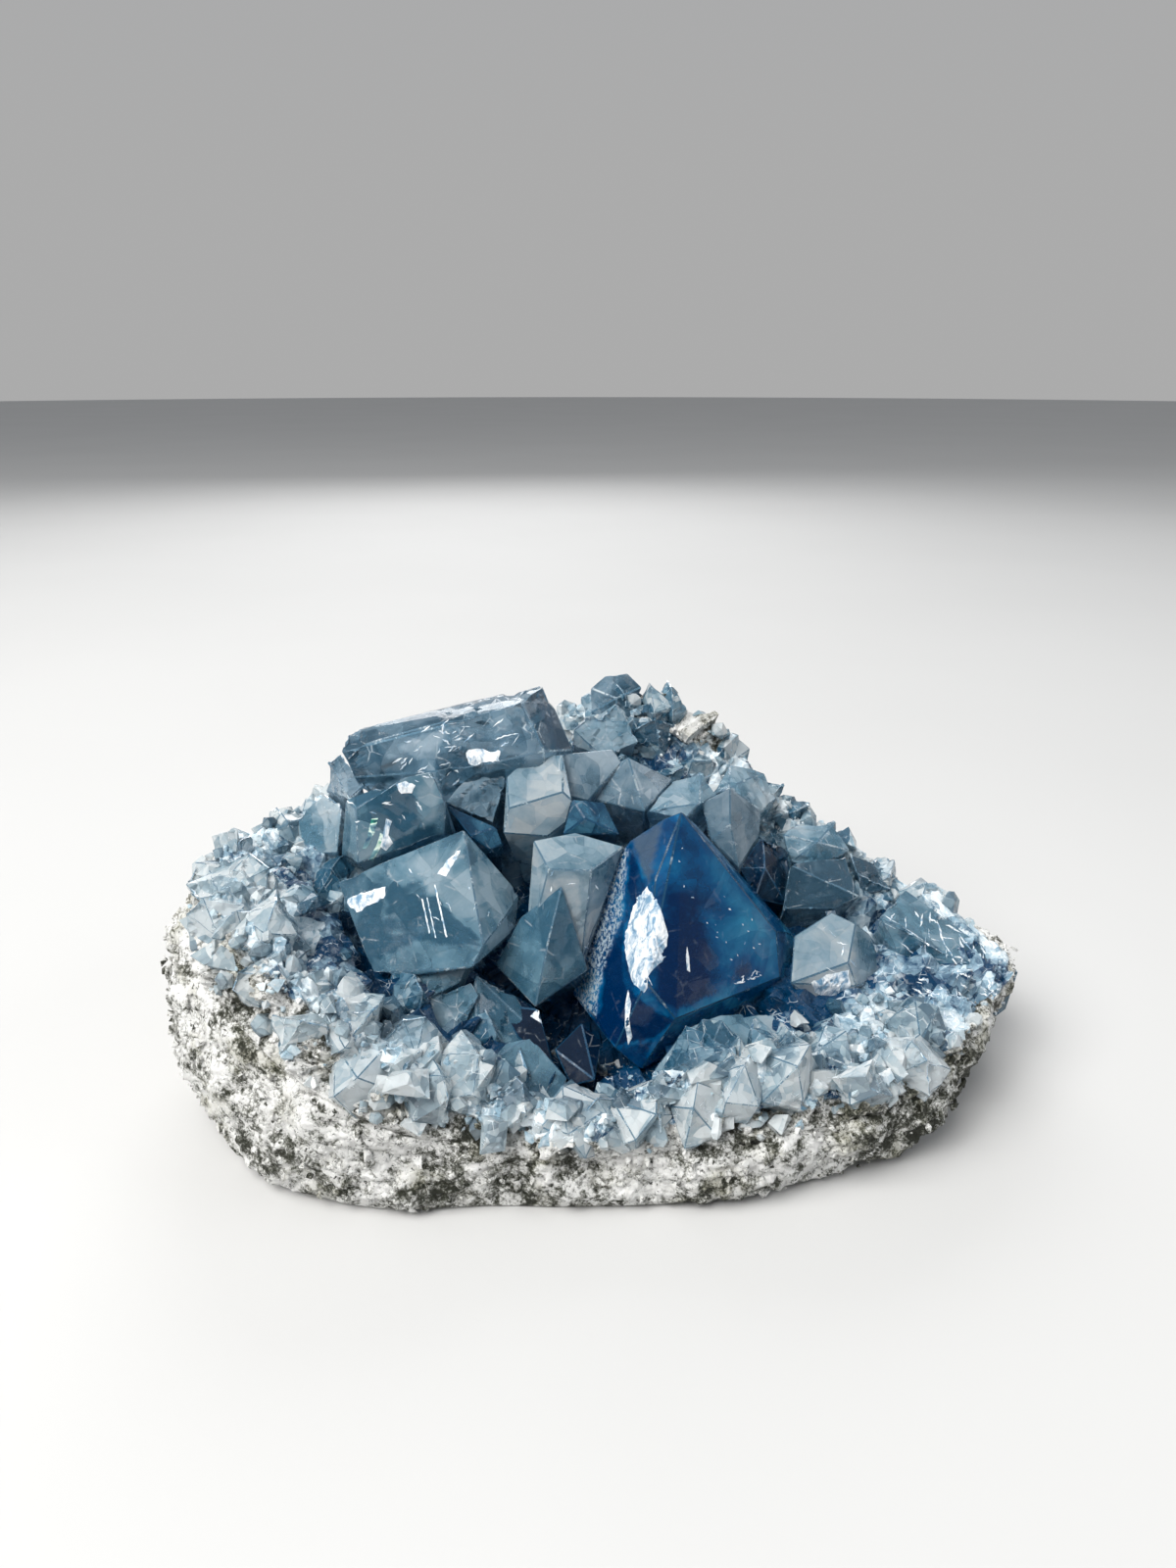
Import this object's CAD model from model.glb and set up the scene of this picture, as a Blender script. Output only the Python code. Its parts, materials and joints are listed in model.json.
"""The looks of a celestite cluster: blue crystals in the hollow of a granular rock.

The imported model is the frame. Sizes in the tables are millimetres, in the frame that
the tables were measured in, and to_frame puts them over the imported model.
"""

import json
import math
import random

import bmesh
import bpy
from bpy.props import FloatProperty, FloatVectorProperty, IntProperty, PointerProperty
from bpy.types import Operator, Panel, PropertyGroup
from mathutils import Matrix, Vector, geometry, noise
from mathutils.bvhtree import BVHTree

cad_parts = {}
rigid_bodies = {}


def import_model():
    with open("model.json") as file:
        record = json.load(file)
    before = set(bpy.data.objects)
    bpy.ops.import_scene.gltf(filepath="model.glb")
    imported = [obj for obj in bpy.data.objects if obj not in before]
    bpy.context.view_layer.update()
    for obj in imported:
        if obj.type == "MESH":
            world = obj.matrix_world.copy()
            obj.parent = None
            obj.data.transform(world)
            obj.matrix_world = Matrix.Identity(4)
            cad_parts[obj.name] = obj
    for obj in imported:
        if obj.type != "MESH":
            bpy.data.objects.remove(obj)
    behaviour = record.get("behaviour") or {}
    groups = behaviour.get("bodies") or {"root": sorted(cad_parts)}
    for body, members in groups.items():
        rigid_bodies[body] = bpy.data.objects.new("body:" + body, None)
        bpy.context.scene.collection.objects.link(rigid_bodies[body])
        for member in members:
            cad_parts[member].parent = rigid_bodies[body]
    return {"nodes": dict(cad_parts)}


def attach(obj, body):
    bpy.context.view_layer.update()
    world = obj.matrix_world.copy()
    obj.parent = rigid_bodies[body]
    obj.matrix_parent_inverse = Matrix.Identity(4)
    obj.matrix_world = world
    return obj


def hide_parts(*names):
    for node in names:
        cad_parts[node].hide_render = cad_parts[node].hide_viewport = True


bl_info = {
    "name": "Celestite cluster",
    "version": (1, 0, 0),
    "blender": (4, 5, 0),
    "location": "3D View > Sidebar > Celestite",
    "description": "Builds a celestite cluster on granular rock around its packed model",
    "category": "Object",
}

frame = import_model()

MM = 0.001
ROOT = "root"

# The camera: its place, how far it looks down, the picture and the sensor. The focal
# length is in pixels of the picture.
EYE = Vector((0.0, -160.0, 109.3))
LOOKS_DOWN = math.radians(21.1)
AHEAD = Vector((0.0, math.cos(LOOKS_DOWN), -math.sin(LOOKS_DOWN)))
ABOVE = Vector((0.0, math.sin(LOOKS_DOWN), math.cos(LOOKS_DOWN)))
PICTURE = (1200, 1600)
FOCAL_PIXELS = 1109.0
SENSOR = 36.0

# The lights: the name, the place and width in metres, the share of the main light's
# power, and the colour
LIGHTS = (
    ("main_light", (-0.4, -0.36, 0.72), 0.8, 1.0, (1.0, 0.985, 0.96)),
    ("glint_light", (-0.4, -0.36, 0.72), 0.16, 0.05, (1.0, 1.0, 1.0)),
    ("side_light", (0.75, -0.1, 0.45), 0.5, 0.12, (0.93, 0.96, 1.0)),
    ("back_light", (-0.1, 0.75, 0.5), 0.6, 0.24, (1.0, 1.0, 1.0)),
)

# The matrix bowl, by direction seen from above: 0 degrees is the right-hand end,
# 90 the back, 180 the left and 270 the front. Each row is the direction, the radius
# of the foot, the radius and height of the belly, the radius and height of the seam
# where the crystal crust starts, and the radius and height of the crust's rim.
BOWL = (
    (0, 44, 71, 16, 69, 18, 61, 21),
    (18, 38, 60, 16, 53, 24, 47, 29),
    (36, 34, 49, 18, 41, 36, 37, 40.5),
    (54, 32, 43, 18, 35.5, 48, 31, 52.5),
    (72, 31, 40, 18, 31, 52, 27, 55),
    (95, 31, 38.5, 18, 32, 46, 27, 50),
    (122, 34, 43, 18, 38, 36, 31, 43),
    (150, 42, 54, 18, 47, 34, 40, 39),
    (178, 53, 65, 22, 60.5, 33.5, 53, 38),
    (198, 56.5, 66.5, 20, 61, 33, 54, 37),
    (216, 56, 60.5, 9, 57.5, 24, 49, 32),
    (232, 50.5, 53.5, 6, 52, 17, 45, 25),
    (250, 42.5, 44, 5, 43, 11, 36, 18),
    (270, 39.8, 41.4, 4, 40.5, 9, 35, 14),
    (290, 41, 43.6, 4.5, 42, 9.5, 34.5, 17),
    (310, 44, 50.5, 4.5, 48.5, 11, 39, 19),
    (328, 48, 59, 7, 57, 12.5, 47, 17),
    (344, 45, 63.5, 13, 63, 16, 54.5, 18.5),
)
SEAM_R, SEAM_Z, RIM_R, RIM_Z = range(4, 8)

# The crust of crystal: its points around and across, the height of its floor in the
# middle, how far the front of the floor dips, how far the crust reaches down behind its
# seam, the front's direction and how far round from it the floor dips
CRUST_AROUND = 360
CRUST_ACROSS = 62
CRUST_FLOOR = 20.0
CRUST_DIP = 8.5
CRUST_SUNK = 5.0
FRONT = 270.0
HOLLOW_FROM_FRONT = 75.0

# How far up the crust the rock reaches, from seam to middle: all round, on the front of
# the left lobe and at the crest behind, and where those two lie
STONE_REACH = 0.42
LOBE = 207.0
LOBE_REACH = 1.0
CREST = 72.0
CREST_REACH = 0.75

# The coarser copy of the crust's surface that the fragments are scattered on
PATCH_AROUND = 180
PATCH_ACROSS = 38

# The large crystals, by their corners. "root" is where the crystal grows from, inside
# the crust, and "keep" is how much narrower it is there.
LARGE = {
    "front": dict(
        root=(17, 6, 16),
        keep=0.5,
        cap=[(11.5, -9, 45.5), (14, -10, 47), (16.5, -6.5, 43.5), (6.5, -6, 40.5)],
        right=[(30, -7, 25), (33, -2, 22), (35, 2.5, 19), (34, -3, 13.5), (33, -5, 13)],
        face=[(30.5, -10, 18.5), (20.5, -17, 18.5), (13, -22.5, 19), (24.5, -9.5, 12)],
        ridge=[(10, -14.5, 38), (8.5, -22, 25), (8, -22.5, 10), (4, -22, 13.5)],
        left=[(8, -9.5, 40), (3, -4.5, 34.5), (-1.5, -8.5, 18.5), (-2.5, -9.5, 15)],
        strip=[(5.5, -12, 30.5), (1, -16, 15.5)],
    ),
    "top_left_block": dict(
        root=(-17, 12, 26),
        keep=0.6,
        end=[(-7, 8, 61.5), (-2.5, 6.5, 51), (-10.5, 4, 60), (-7, 3, 52)],
        top=[(-20.5, 2.5, 57), (-20.5, 6, 58.5), (-30.5, 2, 55), (-39, 5, 54.5)],
        front=[(-19.5, 1.5, 49.5), (-37, 0.5, 48.5), (-39, 1, 52.5)],
        back=[(-8, 17, 59), (-4.5, 16, 49), (-37, 16, 52), (-38.5, 13, 45)],
    ),
    "under_block": dict(
        root=(-27, 8, 24),
        keep=0.7,
        front=[(-35.5, -6.5, 46), (-28, -4.5, 50.5), (-24, -3.5, 51), (-22, -4, 45.5)],
        low=[(-22.5, -4.5, 41), (-30, -6.5, 39), (-35.5, -8, 37.5)],
        left=[(-37.5, -4, 46.5), (-39, -4, 37)],
    ),
    "left_middle": dict(
        root=(-22, 2, 17),
        keep=0.55,
        right=[(-19, -7.5, 43), (-10.5, -7, 31.5), (-11, -9, 27), (-18, -14, 24)],
        ridge=[(-25.5, -16, 30), (-24, -13, 36.5), (-30, -12, 36.5)],
        top=[(-30.5, -10, 39), (-38, -11.5, 36)],
        low=[(-15.5, -18.5, 29), (-17, -20.5, 26.5), (-25, -20, 25), (-32, -19.5, 25)],
    ),
    "middle": dict(
        root=(-1, 5, 20),
        keep=0.7,
        top=[(-8.5, -6, 40.5), (-2, -4, 41), (5.5, -6, 39.5), (0.5, -10.5, 37.5), (-6, -11, 38)],
        low=[(2.5, -9, 36), (-1, -12, 21.5), (-10, -12, 22), (-8.5, -8.5, 33.5)],
    ),
    "middle_low": dict(
        root=(-6, -4, 14),
        keep=0.6,
        left=[(-14.5, -12, 22), (-8, -18.5, 18.5), (-10.5, -10.5, 29.5), (-4, -11.5, 35.5)],
        right=[(0, -13.5, 22), (-6, -15, 28)],
    ),
    "right_bright": dict(
        root=(40, 3, 12),
        keep=0.6,
        top=[(39, -5, 27.5), (33, -6.5, 24), (32, -11, 18), (41, -10.5, 21.5), (42.5, -7, 26.5)],
        right=[(45.5, -5, 23.5), (49, -3, 18), (49, -4.5, 16), (42.5, -11, 17.5)],
        low=[(35, -10.5, 19.5), (42, -10.5, 15.5), (39, -10, 12.5), (34, -10, 15)],
    ),
    "right_end": dict(
        root=(55, 1, 13),
        keep=0.6,
        top=[(47, -3.5, 26), (54, 6, 26), (71, -4, 16), (59.5, -7.5, 20), (49.5, -4, 25)],
        low=[(53, -7.5, 14.5), (58.5, -10, 10), (59.5, -9.5, 13), (69, -6, 10), (64, -9, 8)],
    ),
    "under_block_right": dict(
        root=(-6, 12, 26),
        keep=0.7,
        top=[(-10, 4, 50.5), (-4, 4.5, 51), (-4, 0.5, 46), (-12.5, -1.5, 44), (-13, 2, 48)],
        low=[(-2.5, 0.5, 44.5), (-3.5, 0, 41), (-6.5, -1, 39), (-13.5, -2, 40)],
    ),
    "back_left_table": dict(
        root=(2, 16, 32),
        keep=0.7,
        front=[(-4, 6, 50.5), (4, 7, 51), (5.5, 6, 49), (0, 3, 43.5), (-4, 3, 44.5)],
    ),
    "back_ridged": dict(
        root=(8, 15, 30),
        keep=0.7,
        front=[(6.5, 6, 50), (14, 7.5, 45.5), (9, 1, 42.5), (0.5, 5, 43), (4.5, 6.5, 48.5), (8, 3.5, 46)],
    ),
    "right_shoulder": dict(
        root=(26, 12, 24),
        keep=0.7,
        left=[(18.5, 4.5, 42.5), (23, 4, 45.5), (20, 1.5, 37.5), (23, 1.5, 40)],
        right=[(29, 8.5, 39.5), (28.5, 6, 36), (24.5, 0, 33)],
    ),
    "right_slab": dict(
        root=(37, 9, 16),
        keep=0.7,
        front=[(33.5, 3.5, 32), (45, 1.5, 27), (41, 1, 25), (32, 0.5, 25), (44, 8, 31.5)],
    ),
}

# The middle-sized crystals, by their corners. Their roots follow from ROOT_SHIFT.
MIDDLE = {
    "peak": [(0.5, 25, 51.5), (0.5, 27, 55.5), (3, 28, 57.5), (7, 28, 58), (9.5, 26, 56), (8.5, 24, 51.5),
        (5, 23.5, 50.5), (5, 24, 54.5)],
    "peak_left": [(-3, 20, 47), (-3, 21, 50), (0, 22, 52), (7, 21, 51.5), (9, 19, 48), (2.5, 17, 46)],
    "dark_middle": [(-2.5, 0, 45), (2.5, 0, 44.5), (5, -3.5, 40.5), (-4, -2.5, 40), (-0.5, -3, 43)],
    "green_middle": [(-20.5, 3, 46.5), (-19, 4, 48.5), (-13, 4, 49.5), (-13, 2, 47), (-15, -1, 41),
        (-23, 0, 44.5)],
    "notch": [(-22.5, -1, 44.5), (-14.5, -2, 41), (-13.5, -3, 38.5), (-15.5, -4, 38), (-18.5, -4, 40.5)],
    "right_dark": [(24.5, 1, 32.5), (29, 5, 36.5), (34.5, 8, 32.5), (33.5, 3, 24.5), (27.5, 0, 27.5),
        (29, 1, 32.5)],
    "ridge_light": [(33.5, 11, 34), (36, 14, 35), (42.5, 14, 34.5), (45.5, 11, 31), (38, 8, 29),
        (34.5, 8, 30), (39, 9, 33.5)],
    "ridge_low": [(45, 11, 31), (50, 11, 28.5), (52.5, 8, 25), (47, 6, 25), (45.5, 7, 29)],
    "ridge_middle": [(20, 9, 42), (24.5, 16, 45), (31, 18, 43), (33, 15, 39), (29.5, 11, 38.5),
        (23.5, 9, 43.5)],
    "back_middle": [(14, 8, 45), (19, 10, 45.5), (21.5, 7, 43), (18, 3, 43), (15.5, 1, 41), (9, 1, 42.5)],
    "left_white": [(-29, -20, 23.5), (-25.5, -18, 24), (-22, -17, 26.5), (-17.5, -15.5, 25), (-19, -19, 23),
        (-24.5, -22, 21.5)],
    "left_column": [(-36, -29, 12), (-33, -25, 16.5), (-25, -21, 21), (-17.5, -18, 23), (-16, -20, 21.5),
        (-19, -24, 16), (-25.5, -29, 14), (-33, -31.5, 10.5)],
    "frosted": [(-19, -21, 18.5), (-17, -17, 23.5), (-11, -17, 19.5), (-7, -21, 14.5), (-11.5, -24, 13),
        (-16.5, -24, 16)],
    "front_striated": [(-15.5, -28.5, 15), (-12, -25, 16.5), (-8.5, -24, 17), (-6, -26, 13.5),
        (-3, -28, 12.5), (-5.5, -32, 9), (-11, -33, 7.5), (-15.5, -32.5, 9)],
    "left_chunk": [(-24, -27, 17.5), (-20, -23, 19.5), (-15.5, -24.5, 16.5), (-16.5, -29, 14.5),
        (-22.5, -30, 13.5)],
    "pale_block": [(-38, -23, 21), (-34.5, -20, 22), (-32, -22, 19.5), (-32.5, -26, 17), (-37.5, -26, 18)],
    "front_wedge": [(23.5, -18, 17), (20, -19, 17.5), (14.5, -22, 17), (9.5, -27, 13), (14, -30, 12.5),
        (21.5, -29, 13), (25.5, -23, 15.5)],
    "front_white": [(23.5, -19, 17), (30, -17, 17), (32, -19, 15), (29.5, -24, 13), (23.5, -25, 14)],
    "front_right": [(35, -18, 15.5), (40, -15, 15.5), (44, -16, 13), (44.5, -21, 10.5), (39, -25, 10),
        (29.5, -24, 13), (37, -22, 13.5)],
    "between_right": [(42.5, -10, 16), (48, -7, 17.5), (50, -8, 17), (53, -9, 15.5), (54, -12, 11),
        (46.5, -14, 11)],
    "left_edge": [(-49.5, 5, 36.5), (-49, 6, 38.5), (-43.5, 7, 43.5), (-39.5, 2, 43.5), (-40, -2, 36.5),
        (-44.5, 0, 35.5)],
    "left_frosted": [(-43, 6, 44), (-43, 8, 48.5), (-40.5, 8, 50), (-35, 0, 47.5), (-37.5, -2, 45.5)],
    "pit_left": [(-15.5, -13, 20), (-7.5, -18.5, 18), (-5, -24, 11.5), (-10.5, -22, 15.5),
        (-13.5, -18, 18.5)],
    "pit_low": [(-5, -23, 14), (-1, -19, 16), (2, -20, 13.5), (1, -27, 11.5), (-2.5, -27, 10.5)],
}
MIDDLE_KEEP = 0.75
ROOT_SHIFT = (0, 7, -10)

# A small crystal's section as shares of its width and thickness, how much narrower its
# foot is, how long its tip is and how wide the tip's edge is to each side
SECTION = ((0.5, 0.1), (0.0, 0.5), (-0.5, 0.1), (-0.3, -0.5), (0.3, -0.5))
FOOT_KEEP = 0.75
TIP_LENGTH = 0.45
TIP_EDGE = 0.17
FOOT_DEPTH = 0.6
LEAN = 0.45

# The bands of smaller crystals on the crust. Each row is the first and last direction,
# the first and last place from seam to middle, how many, their width and how far they
# stand out.
SMALL = (
    (222, 300, 0.25, 0.95, 13, 10.5, 2.8),
    (228, 330, 1.0, 1.22, 11, 11.5, 4.5),
    (300, 352, 0.35, 1.2, 12, 10.5, 3.6),
    (150, 215, 0.4, 1.05, 11, 10.5, 2.0),
    (172, 236, 1.02, 1.45, 16, 11.5, 4.2),
    (60, 150, 0.35, 1.15, 9, 10.5, 3.0),
    (8, 80, 0.6, 1.3, 16, 9.5, 2.2),
    (30, 110, 1.25, 1.6, 6, 11.0, 5.0),
    (355, 378, 0.4, 1.1, 4, 10.0, 2.2),
    (130, 185, 1.25, 1.5, 4, 12.0, 6.0),
    (164, 202, 1.22, 1.6, 6, 13.0, 5.0),
)

# The large and middle crystals that have each finish
FINISH = {
    "deep": ("front",),
    "smoky": ("top_left_block", "back_left_table", "back_ridged", "right_shoulder", "right_slab", "peak",
        "green_middle", "ridge_low", "left_chunk", "left_frosted"),
    "blue": ("under_block", "left_middle", "middle_low", "right_end", "frosted", "front_striated",
        "front_wedge", "between_right"),
    "pale": ("middle", "right_bright", "under_block_right", "peak_left", "ridge_light", "ridge_middle",
        "back_middle", "left_white", "left_column", "pale_block", "front_white", "front_right",
        "left_edge"),
    "dark": ("dark_middle", "notch", "right_dark", "pit_left", "pit_low"),
}

# How broken a crystal is: how deep in millimetres, how wide its facets are and how much
# of its surface is broken
BROKEN = {
    "top_left_block": (1.8, 5.0, 0.3),
    "under_block": (1.0, 4.0, 0.2),
    "left_middle": (0.8, 4.0, 0.1),
    "middle": (0.5, 3.0, 0.1),
    "right_end": (0.9, 4.5, 0.4),
    "under_block_right": (0.9, 3.0, 0.3),
    "right_slab": (0.9, 3.5, 0.3),
    "right_dark": (1.4, 3.5, 0.4),
    "green_middle": (1.2, 3.0, 0.4),
    "left_white": (0.9, 2.6, 0.5),
    "left_column": (1.1, 3.0, 0.5),
    "frosted": (1.0, 2.8, 0.5),
    "front_striated": (1.1, 2.6, 0.5),
    "left_chunk": (1.0, 2.8, 0.4),
    "pale_block": (1.0, 2.8, 0.4),
    "front_wedge": (0.9, 3.2, 0.4),
    "front_white": (1.0, 2.6, 0.6),
    "front_right": (1.0, 2.8, 0.5),
    "between_right": (0.9, 2.8, 0.4),
    "left_edge": (1.2, 3.0, 0.5),
    "left_frosted": (1.2, 3.0, 0.5),
    "peak": (1.0, 3.0, 0.3),
    "peak_left": (1.0, 2.8, 0.4),
    "ridge_light": (1.0, 2.8, 0.5),
    "ridge_low": (1.0, 2.8, 0.5),
    "ridge_middle": (1.1, 2.8, 0.5),
    "back_middle": (0.7, 2.8, 0.3),
}

# Bright white bruises on the crystals, each by the crystal and its outline as it shows
# in the picture, in pixels
BRUISES = (
    ("front", ((660, 904), (665, 912), (671, 921), (676, 933), (679, 944), (682, 955), (680, 966),
        (675, 973), (676, 981), (669, 986), (664, 992), (659, 999), (661, 1008), (657, 1013), (649, 1006),
        (644, 998), (641, 984), (638, 970), (638, 955), (642, 941), (646, 928), (652, 915))),
    ("front", ((641, 1010), (644, 1024), (642, 1040), (645, 1058), (641, 1066), (638, 1048), (638, 1026))),
    ("front", ((701, 966), (703, 976), (704, 992), (701, 990), (700, 976))),
    ("top_left_block", ((475, 768), (483, 764), (492, 763), (500, 767), (511, 766), (509, 777), (496, 777),
        (486, 781), (478, 779))),
    ("left_middle", ((352, 918), (362, 914), (372, 911), (386, 906), (394, 905), (393, 913), (385, 921),
        (374, 924), (365, 931), (358, 926))),
    ("left_middle", ((446, 892), (452, 884), (458, 876), (466, 869), (470, 868), (464, 880), (455, 894))),
    ("left_middle", ((430, 917), (431.4, 917), (439, 952), (437.8, 953))),
    ("left_middle", ((435.2, 916), (436.3, 916), (445, 957), (444, 957))),
    ("left_middle", ((443, 903), (444.4, 903), (456.5, 956), (455, 957))),
    ("under_block", ((394, 835), (400, 838), (396, 852), (401, 860), (394, 868), (388, 864), (391, 850))),
    ("under_block", ((404, 800), (414, 797), (424, 801), (420, 809), (409, 810))),
    ("right_bright", ((828, 1003), (846, 994), (866, 990), (868, 1006), (858, 1014), (842, 1018),
        (832, 1012))),
    ("right_bright", ((883, 946), (892, 944), (900, 958), (895, 972), (889, 960))),
    ("right_slab", ((842, 930), (852, 929), (853, 935), (844, 936))),
    ("pit_left", ((541, 1037), (550, 1028), (556, 1033), (559, 1048), (550, 1043))),
)

# The rainbow of a fracture inside the crystal under the block
RAINBOWS = (
    ("under_block", ((379, 836), (386, 834), (382, 850), (374, 866), (370, 866), (376, 850))),
    ("under_block", ((388, 850), (392, 852), (387, 868), (380, 879), (376, 877), (384, 863))),
)

# Where small white fractures lie: the crystal, the outline of the region in the picture,
# how many there are, their length and width in pixels and the way they run in degrees
FRACTURES = (
    ("top_left_block", ((400, 755), (440, 742), (480, 740), (470, 800), (420, 805)), 26, 9, 1.4, -30),
    ("top_left_block", ((352, 768), (430, 742), (520, 726), (552, 760), (520, 766), (440, 772), (360, 800)),
        14, 11, 1.2, -14),
    ("under_block", ((350, 800), (440, 785), (450, 840), (360, 850)), 12, 9, 1.3, 20),
    ("left_middle", ((400, 890), (500, 880), (525, 925), (430, 980)), 10, 8, 1.0, 60),
    ("middle", ((550, 880), (620, 890), (600, 985), (560, 980)), 8, 8, 1.0, 70),
    ("right_end", ((890, 935), (960, 930), (1046, 990), (1030, 1040), (940, 1000)), 46, 20, 1.3, 48),
    ("right_bright", ((850, 950), (895, 950), (870, 1000), (830, 985)), 5, 8, 1.0, 30),
    ("front", ((690, 850), (790, 960), (780, 1000), (700, 960)), 20, 2.4, 0.8, 60),
    ("right_end", ((985, 960), (1040, 985), (1056, 1010), (1015, 1058), (985, 1050), (978, 1000)), 30, 10,
        2.0, 40),
    ("crust", ((930, 985), (980, 985), (1040, 1000), (1015, 1050), (975, 1050), (935, 1010)), 44, 13, 1.6,
        50),
    ("front", ((655, 905), (684, 940), (680, 975), (660, 1010), (644, 1000), (640, 940)), 14, 16, 2.4, 80),
    ("front", ((742, 1004), (770, 990), (790, 984), (788, 992), (748, 1010)), 9, 9, 1.2, -26),
)

# Points this many pixels apart fill a bruise, and stay this far inside its outline
SPACING = 2.4
INSET = 1.3

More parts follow.
